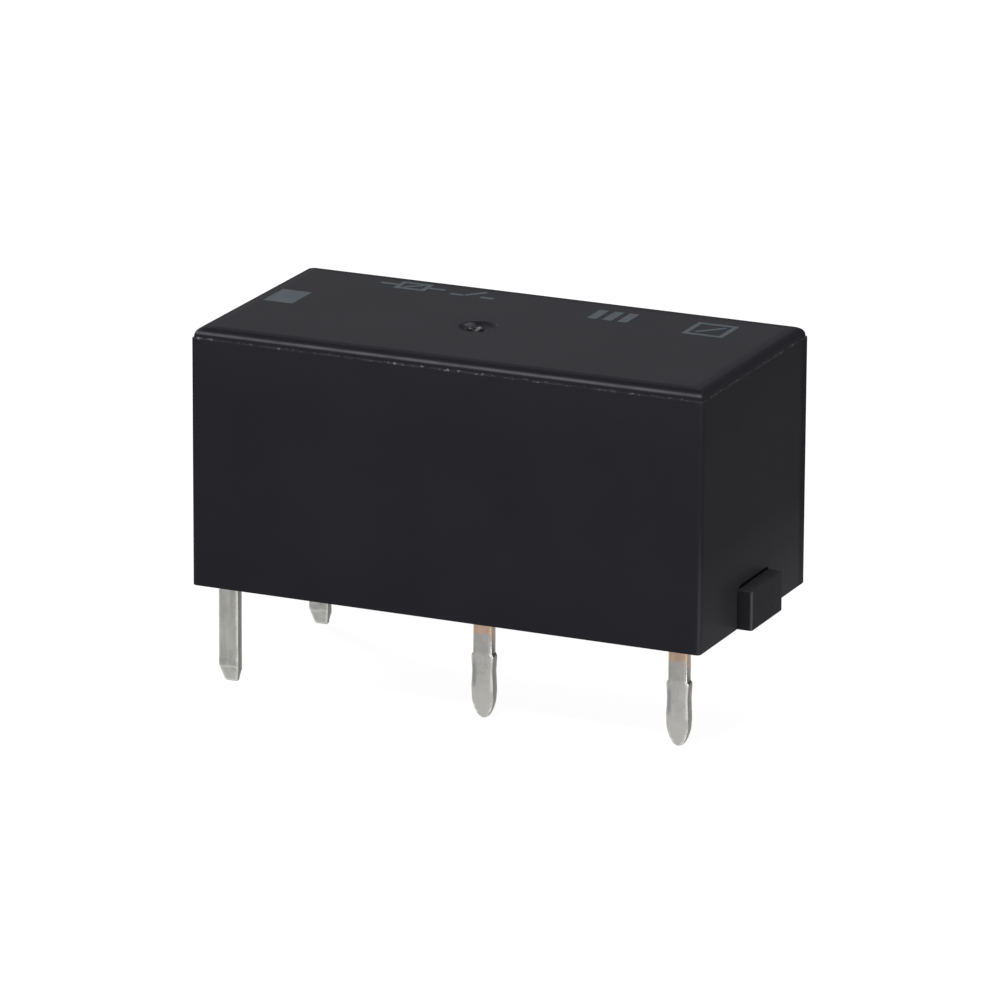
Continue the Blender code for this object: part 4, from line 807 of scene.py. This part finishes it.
def make_cover():
    cover = cover_outer()
    room_x, room_y = END_X - WALL, SIDE_Y - WALL
    cavity = block("cavity", (-room_x, -room_y, -CUT_OVERRUN), (room_x, room_y, ROOF_Z), 0.3 * MM)
    half, top, radius = NOTCH_HALF, NOTCH_TOP, NOTCH_RADIUS
    outline = (
        [(half, -CUT_OVERRUN)]
        + arc((half - radius, top - radius), radius, 0, 90, 8)
        + arc((radius - half, top - radius), radius, 90, 180, 8)
        + [(-half, -CUT_OVERRUN)]
    )
    rings = [[(x, y, z) for y, z in outline] for x in (END_X - 2 * WALL, END_X + WALL)]
    notch = new_piece("notch", loft(rings), None)
    pocket = block(
        "pocket",
        (WALL - END_X - 0.23 * MM, -LATCH_HALF, FLOOR_Z - 0.55 * MM),
        (WALL - END_X + 0.15 * MM, LATCH_HALF, FLOOR_Z + FIT_GAP),
    )
    combine(cover, [cavity, notch, pocket, vent_cutter()])
    smooth(cover, 32)
    weigh_normals(cover)
    return finish_piece(cover, "relay_body", ["cover"])


# Pad print
def strip(points, width):
    """A flat band along a line of points, as one outline."""
    left, right = [], []
    for index, (x, y) in enumerate(points):
        before = points[max(index - 1, 0)]
        after = points[min(index + 1, len(points) - 1)]
        along = Vector((after[0] - before[0], after[1] - before[1])).normalized()
        side = Vector((-along.y, along.x)) * width / 2
        left.append((x + side.x, y + side.y))
        right.append((x - side.x, y - side.y))
    return right + left[::-1]


def frame_outline(low, high, width):
    """The four bands of a plain rectangular frame, mitred into one another."""
    (x0, y0), (x1, y1) = low, high
    return [
        [(x0, y0), (x1, y0), (x1, y0 + width), (x0, y0 + width)],
        [(x0, y1 - width), (x1, y1 - width), (x1, y1), (x0, y1)],
        [(x0, y0 + width), (x0 + width, y0 + width), (x0 + width, y1 - width), (x0, y1 - width)],
        [(x1 - width, y0 + width), (x1, y0 + width), (x1, y1 - width), (x1 - width, y1 - width)],
    ]


def ragged(outline, spacing, size):
    """Divide an outline and move its points a little, as ink spreads."""
    points = []
    for (x0, y0), (x1, y1) in zip(outline, outline[1:] + outline[:1]):
        count = max(1, round(math.hypot(x1 - x0, y1 - y0) / spacing))
        for step in range(count):
            share = step / count
            x, y = x0 + share * (x1 - x0), y0 + share * (y1 - y0)
            shift = noise.noise_vector(Vector((x, y, 0.01)) * 3000) * size
            points.append((x + shift.x, y + shift.y))
    return points


def make_print(name, outlines, spacing=0.12 * MM, size=0.012 * MM):
    """Thin raised ink that follows the camber, its top in line with the CAD."""
    merged = bmesh.new()
    for outline in outlines:
        points = ragged([(x * MM, y * MM) for x, y in outline], spacing, size)
        bm = loft([[(x, y, z) for x, y in points] for z in (1.0, 0.0)])
        for axis, edge in ((0, END_X), (1, SIDE_Y)):
            for step in range(8):
                for side in (-1, 1):
                    normal, place = [0, 0, 0], [0, 0, 0]
                    normal[axis] = 1
                    place[axis] = side * (edge - CAMBER_INSET + 0.1 * MM * step)
                    everything = bm.verts[:] + bm.edges[:] + bm.faces[:]
                    bmesh.ops.bisect_plane(bm, geom=everything, plane_co=place, plane_no=normal)
        for vert in bm.verts:
            inset = min(END_X - abs(vert.co.x), SIDE_Y - abs(vert.co.y))
            vert.co.z = HEIGHT - top_fall(inset) - (0 if vert.co.z > 0.5 else 2 * PRINT_THICKNESS)
        mesh = bpy.data.meshes.new(name)
        bm.to_mesh(mesh)
        bm.free()
        merged.from_mesh(mesh)
        bpy.data.meshes.remove(mesh)
    return finish_piece(new_piece(name, merged, PRINT), "relay_body")


def make_prints():
    """Plain generic marks, placed in mm: a square, a circuit symbol, three bars and a framed slash."""
    mark = [(-9.3, -0.4), (-8.12, -0.4), (-8.12, 1.3), (-9.3, 1.3)]
    make_print("print_orientation", [mark], size=0.03 * MM)
    line = 0.2
    symbol = frame_outline((-5.75, 3.2), (-4.5, 4.15), line)
    symbol += [
        strip([(-6.45, 3.67), (-5.74, 3.67)], line),
        strip([(-4.51, 3.67), (-3.85, 3.67)], line),
        strip([(-5.42, 3.46), (-4.83, 3.89)], 0.17),
        strip([(-3.5, 3.32), (-2.95, 3.32)], line),
        strip([(-2.93, 3.35), (-2.33, 4.02)], line),
        strip([(-2.3, 3.32), (-1.75, 3.32)], line),
    ]
    make_print("print_circuit", symbol)
    starts = [2.35 + 0.6 * i for i in range(3)]
    ends = [2.72 + 0.6 * i for i in range(3)]
    bars = [[(a, 2.4), (b, 2.4), (b, 3.6), (a, 3.6)] for a, b in zip(starts, ends)]
    make_print("print_bars", bars)
    box = frame_outline((6.25, 1.95), (7.85, 3.6), 0.2)
    box.append(strip([(6.62, 2.33), (7.48, 3.22)], 0.17))
    make_print("print_square", box)


# Base and seal
def tab_rings():
    """The tab from its foot up, with round upright corners and a round top edge."""
    radius, steps = TAB_EDGE, 5
    levels = [(0.02 * MM, 0.0), (0.0, 0.03 * MM), (0.0, TAB_TOP - radius)]
    for step in range(1, steps + 1):
        angle = math.radians(90 * step / steps)
        levels.append((radius * (1 - math.cos(angle)), TAB_TOP - radius * (1 - math.sin(angle))))
    rings = []
    for inset, z in levels:
        low = (END_X - 0.7 * MM + inset, inset - TAB_HALF)
        high = (END_X + TAB_REACH - inset, TAB_HALF - inset)
        outline = round_rectangle(low, high, 1.6 * radius - inset, 8)
        rings.append([(x, y, z) for x, y in outline])
    return rings


def make_base():
    """The CAD base, with marks under its island and a finer tab in place of its own."""
    base = cad_copy("base_moulding", "base")
    marks = []
    for index, (x, y, radius) in enumerate(EJECTOR_MARKS):
        profile = [(radius * MM, 0.03 * MM), (radius * MM, -CUT_OVERRUN)]
        marks.append(turned(f"mark_{index}", profile, 32, (x * MM, y * MM)))
    combine(base, marks)
    low = (END_X - 0.25 * MM, -2 * TAB_HALF, -CUT_OVERRUN)
    high = (END_X + 2 * TAB_REACH, 2 * TAB_HALF, 2 * TAB_TOP)
    combine(base, [block("old_tab", low, high)])
    combine(base, [new_piece("new_tab", loft(tab_rings()), FINISHES["base_black"])], "UNION")
    smooth(base, 30)
    return finish_piece(base, "relay_body", ["base"])


def seal_clearance(x, y):
    """How far a point on the seal is from the nearest wall or terminal."""
    nearest = min(SEAL_HIGH.x - abs(x), SEAL_HIGH.y - abs(y))
    island = (0.0, 0.0, 2 * ISLAND_HALF[0], 2 * ISLAND_HALF[1])
    for px, py, width, thickness in (*PINS, island):
        beside = max(abs(x - px) - 0.5 * width, 0)
        nearest = min(nearest, math.hypot(beside, max(abs(y - py) - 0.5 * thickness, 0)))
    return max(nearest, 0.0)


def make_seal():
    """Poured resin: it climbs the walls and the terminals and lies uneven between them."""
    x1, y1 = SEAL_HIGH.x, SEAL_HIGH.y
    step = 0.17 * MM
    count_x, count_y = round(2 * x1 / step), round(2 * y1 / step)
    bm = bmesh.new()
    rows = []
    for i in range(count_x + 1):
        row = []
        for j in range(count_y + 1):
            x, y = -x1 + 2 * x1 * i / count_x, -y1 + 2 * y1 * j / count_y
            climb = 0.13 * MM * math.exp(-seal_clearance(x, y) / (0.22 * MM))
            swell = 0.02 * MM * noise.noise(Vector((x, y, 0)) * 450)
            under = bm.verts.new((x, y, SEAL_LOW.z - climb + swell))
            row.append((under, bm.verts.new((x, y, SEAL_HIGH.z))))
        rows.append(row)
    for a, b in zip(rows, rows[1:]):
        for j in range(count_y):
            for side in (0, 1):
                bm.faces.new((a[j][side], b[j][side], b[j + 1][side], a[j + 1][side]))
        for j in (0, count_y):
            bm.faces.new((a[j][0], b[j][0], b[j][1], a[j][1]))
    for row in (rows[0], rows[-1]):
        for a, b in zip(row, row[1:]):
            bm.faces.new((a[0], b[0], b[1], a[1]))
    seal = new_piece("resin_fill", bm, FINISHES["sealing_resin"])
    island = prism(
        "island_room",
        round_rectangle(
            (-ISLAND_HALF[0] - FIT_GAP, -ISLAND_HALF[1] - FIT_GAP),
            (ISLAND_HALF[0] + FIT_GAP, ISLAND_HALF[1] + FIT_GAP),
            ISLAND_RADIUS + FIT_GAP,
            8,
        ),
        -CUT_OVERRUN,
        2 * CUT_OVERRUN,
    )
    tab_low = (TAB_START_X - 2 * FIT_GAP, -TAB_HALF - FIT_GAP, -CUT_OVERRUN)
    tab = block("tab_room", tab_low, (END_X, TAB_HALF + FIT_GAP, FLOOR_Z))
    holes = []
    for x, y, width, thickness in PINS:
        half_x, half_y = 0.5 * width + 0.01 * MM, 0.5 * thickness + 0.01 * MM
        low = (x - half_x, y - half_y, -CUT_OVERRUN)
        holes.append(block("pin_room", low, (x + half_x, y + half_y, FLOOR_Z)))
    combine(seal, [island, tab, *holes])
    smooth(seal, 40)
    return finish_piece(seal, "relay_body", ["epoxy_seal"])


# Terminals
def blade_ring(centre, left, right, thickness, z):
    """A blade's section, its edges rounded further along the wide faces than along the sides."""
    half = BLADE_EDGE_FLATNESS * thickness / 2
    radius = min(BLADE_EDGE, 0.45 * (right - left), 0.9 * half)
    outline = round_rectangle((left, -half), (right, half), radius, 5)
    return [(centre[0] + x, centre[1] + y / BLADE_EDGE_FLATNESS, z) for x, y in outline]


def crease_wave(x, z, crease):
    """How far a blade's points near its crease are shifted, so that the crease isn't straight."""
    reach = max(1 - abs(z - crease) / (0.3 * MM), 0)
    return reach * (0.065 * MM * math.cos(x / (0.16 * MM) + 0.5) - 0.15 * x)


def make_coil_terminal(side, name, node):
    """A flat blade whose tip is cut back on one side and coined thin."""
    centre = (COIL_X, side * ROW_Y)
    half, post = COIL_WIDTH / 2, POST_WIDTH / 2
    shoulder = FLOOR_Z + FIT_GAP
    crease = COIL_CREASE_Z
    stations = [
        (-post, post, COIL_THICKNESS, POST_TOP_Z),
        (-post, post, COIL_THICKNESS, shoulder + half - post),
        (-half, half, COIL_THICKNESS, shoulder),
    ]
    stations.append((-half, half, COIL_THICKNESS, shoulder + 0.2 * (crease - shoulder)))
    half += 0.02 * MM
    for share in (0.4, 0.6, 0.8, 0.92):
        stations.append((-half, half, COIL_THICKNESS, shoulder + share * (crease - shoulder)))
    stations.append((-half, half, COIL_THICKNESS, crease + 0.04 * MM))
    stations.append((-half, half, COIL_THICKNESS - 0.006 * MM, crease))
    for share in (0.12, 0.4, 0.7, 0.9, 1.0):
        left = -half * (1 - 0.48 * share)
        right = half * (1 - 0.16 * share)
        thick = COIL_THICKNESS - share * 0.2 * MM
        stations.append((left, right, thick, crease + share * (TIP_Z + 0.05 * MM - crease)))
    stations.append((-0.4 * half, 0.72 * half, 0.1 * MM, TIP_Z))
    rings = [blade_ring(centre, *station) for station in stations]
    for ring in rings[3:]:
        for index, (x, y, z) in enumerate(ring):
            bent = 0.006 * MM * noise.noise(Vector((x, y, z)) * 900)
            ring[index] = (x + 0.4 * bent, y + bent, z + crease_wave(x - COIL_X, z, crease))
    terminal = new_piece(name, loft(rings), FINISHES["tinned_copper"])
    smooth(terminal, 50)
    return finish_piece(terminal, "relay_body", [node])


def contact_blade(name, x, top):
    """A blade with a swollen, waisted lower part and a coined, rounded point."""
    centre = (x, -ROW_Y)
    neck, swell, waist = NECK_WIDTH / 2, SWELL_WIDTH / 2, WAIST_WIDTH / 2
    middle = (SHOULDER_Z + CREASE_Z) / 2
    thick = BLADE_THICKNESS
    stations = [
        (top, neck, thick),
        (0.0, neck, thick),
        (-0.7 * MM, neck, thick),
        (SHOULDER_Z, neck, thick),
        (SHOULDER_Z - 0.05 * MM, neck + 0.55 * (swell - neck), thick),
        (SHOULDER_Z - 0.12 * MM, swell, thick),
        (SHOULDER_Z - 0.22 * MM, swell, thick),
        (SHOULDER_Z - 0.4 * MM, (swell + waist) / 2, thick),
        (middle, waist, thick),
        (CREASE_Z + 0.32 * MM, (swell + waist) / 2, thick),
        (CREASE_Z + 0.1 * MM, swell, thick),
        (CREASE_Z + 0.04 * MM, swell, thick + 0.012 * MM),
        (CREASE_Z, swell, thick + 0.01 * MM),
    ]
    for share, width in TIP_TAPER:
        thin = POINT_THICKNESS + (thick - POINT_THICKNESS) * (1 - share)
        stations.append((CREASE_Z + share * (TIP_Z - CREASE_Z), swell * width, thin))
    rings = [blade_ring(centre, -half, half, thickness, z) for z, half, thickness in stations]
    for ring in rings[2:]:
        for index, (px, py, z) in enumerate(ring):
            bent = 0.007 * MM * noise.noise(Vector((px, py, z)) * 800)
            ring[index] = (px + 0.4 * bent, py + bent, z + crease_wave(px - x, z, CREASE_Z))
    return new_piece(name, loft(rings), FINISHES["copper_alloy"])


def make_contact_terminal(name, node, x, top):
    """The CAD bracket, with its blade replaced by the finer one."""
    terminal = cad_copy(name, node)
    cut_z = 0.9 * MM
    low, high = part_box(node)
    margin = 1 * MM
    below = [value - margin for value in low]
    cutter = block("old_blade", below, (high.x + margin, high.y + margin, cut_z))
    combine(terminal, [cutter])
    combine(terminal, [contact_blade(f"{name}_blade", x, top)], "UNION")
    smooth(terminal, 50)
    return finish_piece(terminal, "relay_body", [node])


# Coil
def make_coil():
    """The CAD winding and its tape, shaded as round."""
    for name, node, slot in (
        ("winding_turns", "coil_winding", "enamelled_copper"),
        ("tape_wrap", "coil_tape", "polyester_tape"),
    ):
        piece = cad_copy(name, node)
        smooth(piece, 40)
        finish_piece(piece, "relay_body", [node])


# Springs, cut across along their length
def sliced(name, node, axis, places):
    """A copy of a CAD leaf with extra cuts across it, so that it can bend smoothly."""
    leaf = cad_copy(name, node)
    bm = bmesh.new()
    bm.from_mesh(leaf.data)
    for place in places:
        bmesh.ops.bisect_plane(
            bm,
            geom=bm.verts[:] + bm.edges[:] + bm.faces[:],
            plane_co=Vector((place, 0, 0)),
            plane_no=axis,
            dist=1e-9,
        )
    bm.to_mesh(leaf.data)
    bm.free()
    smooth(leaf, 30)
    return leaf


def make_springs():
    """The contact leaf, with a shallow pad under the card's foot, and the hinge leaf."""
    start, end = Vector((7.95 * MM, 0, 2.87 * MM)), Vector((5.9 * MM, 0, 2.87 * MM))
    steps = 16
    places = [start.x + (end.x - start.x) * i / steps for i in range(steps + 1)]
    pad_low, pad_high, ramp = 4.75 * MM, 6.05 * MM, 0.05 * MM
    places += [pad_low - ramp, pad_low + ramp, pad_high - ramp, pad_high + ramp]
    leaf = sliced("contact_leaf", "contact_spring", Vector((1, 0, 0)), places)
    for vert in leaf.data.vertices:
        if pad_low < vert.co.x < pad_high and vert.co.z > start.z:
            vert.co.z -= PAD_DEPTH
    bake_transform(leaf)
    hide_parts("contact_spring")

    start, end = Vector((1.6 * MM, 0, 8.6 * MM)), Vector((2.45 * MM, 0, 8.6 * MM))
    places = [start.x + (end.x - start.x) * i / steps for i in range(steps + 1)]
    leaf = sliced("hinge_leaf", "hinge_spring", Vector((1, 0, 0)), places)
    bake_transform(leaf)
    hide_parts("hinge_spring")


# Studio
def area_light(name, place, target, width, height, power):
    data = bpy.data.lights.new(name, "AREA")
    data.shape = "RECTANGLE"
    data.size = width
    data.size_y = height
    data.energy = power
    light = bpy.data.objects.new(name, data)
    bpy.context.scene.collection.objects.link(light)
    light.location = place
    light.rotation_euler = (Vector(target) - Vector(place)).to_track_quat("-Z", "Y").to_euler()


def make_floor():
    """A plain pale floor at the height of the blades' tips."""
    bm = bmesh.new()
    bmesh.ops.create_grid(bm, x_segments=2, y_segments=2, size=1.5)
    floor = new_piece("studio_floor", bm, None)
    floor.location.z = TIP_Z
    finish = Finish("studio_floor", roughness=0.9, specular=0.0)
    paper = finish.noise(0.02, 3.0)
    finish.colour(finish.blend(paper, (0.039, 0.039, 0.039), (0.041, 0.041, 0.041)))
    finish.shader.inputs["Emission Color"].default_value = (1.0, 1.0, 1.0, 1.0)
    finish.shader.inputs["Emission Strength"].default_value = 0.97
    floor.data.materials.append(finish.material)


def make_camera():
    data = bpy.data.cameras.new("camera")
    data.lens = CAMERA_LENS
    data.sensor_width = 36.0
    data.clip_start = 0.01
    camera = bpy.data.objects.new("camera", data)
    bpy.context.scene.collection.objects.link(camera)
    turn = (CAMERA_AIM - CAMERA_PLACE).to_track_quat("-Z", "Y").to_matrix().to_4x4()
    roll = Matrix.Rotation(CAMERA_ROLL, 4, "Z")
    camera.matrix_world = Matrix.Translation(CAMERA_PLACE) @ turn @ roll
    bpy.context.scene.camera = camera


def make_studio():
    scene = bpy.context.scene
    scene.view_settings.view_transform = "Standard"
    world = bpy.data.worlds.new("studio")
    world.use_nodes = True
    background = world.node_tree.nodes["Background"]
    background.inputs["Color"].default_value = (0.98, 0.99, 1.0, 1.0)
    background.inputs["Strength"].default_value = 0.12
    scene.world = world
    for light in LIGHTS:
        area_light(*light)
    make_floor()
    make_camera()


make_cover()
make_prints()
make_base()
make_seal()
make_coil_terminal(-1, "coil_blade_front", "coil_terminal_front")
make_coil_terminal(1, "coil_blade_rear", "coil_terminal_rear")
make_contact_terminal("fixed_blade", "fixed_contact_terminal", FIXED_X, 1.5 * MM)
make_contact_terminal("moving_blade", "moving_contact_terminal", MOVING_X, 1.6 * MM)
make_coil()
make_springs()
make_studio()
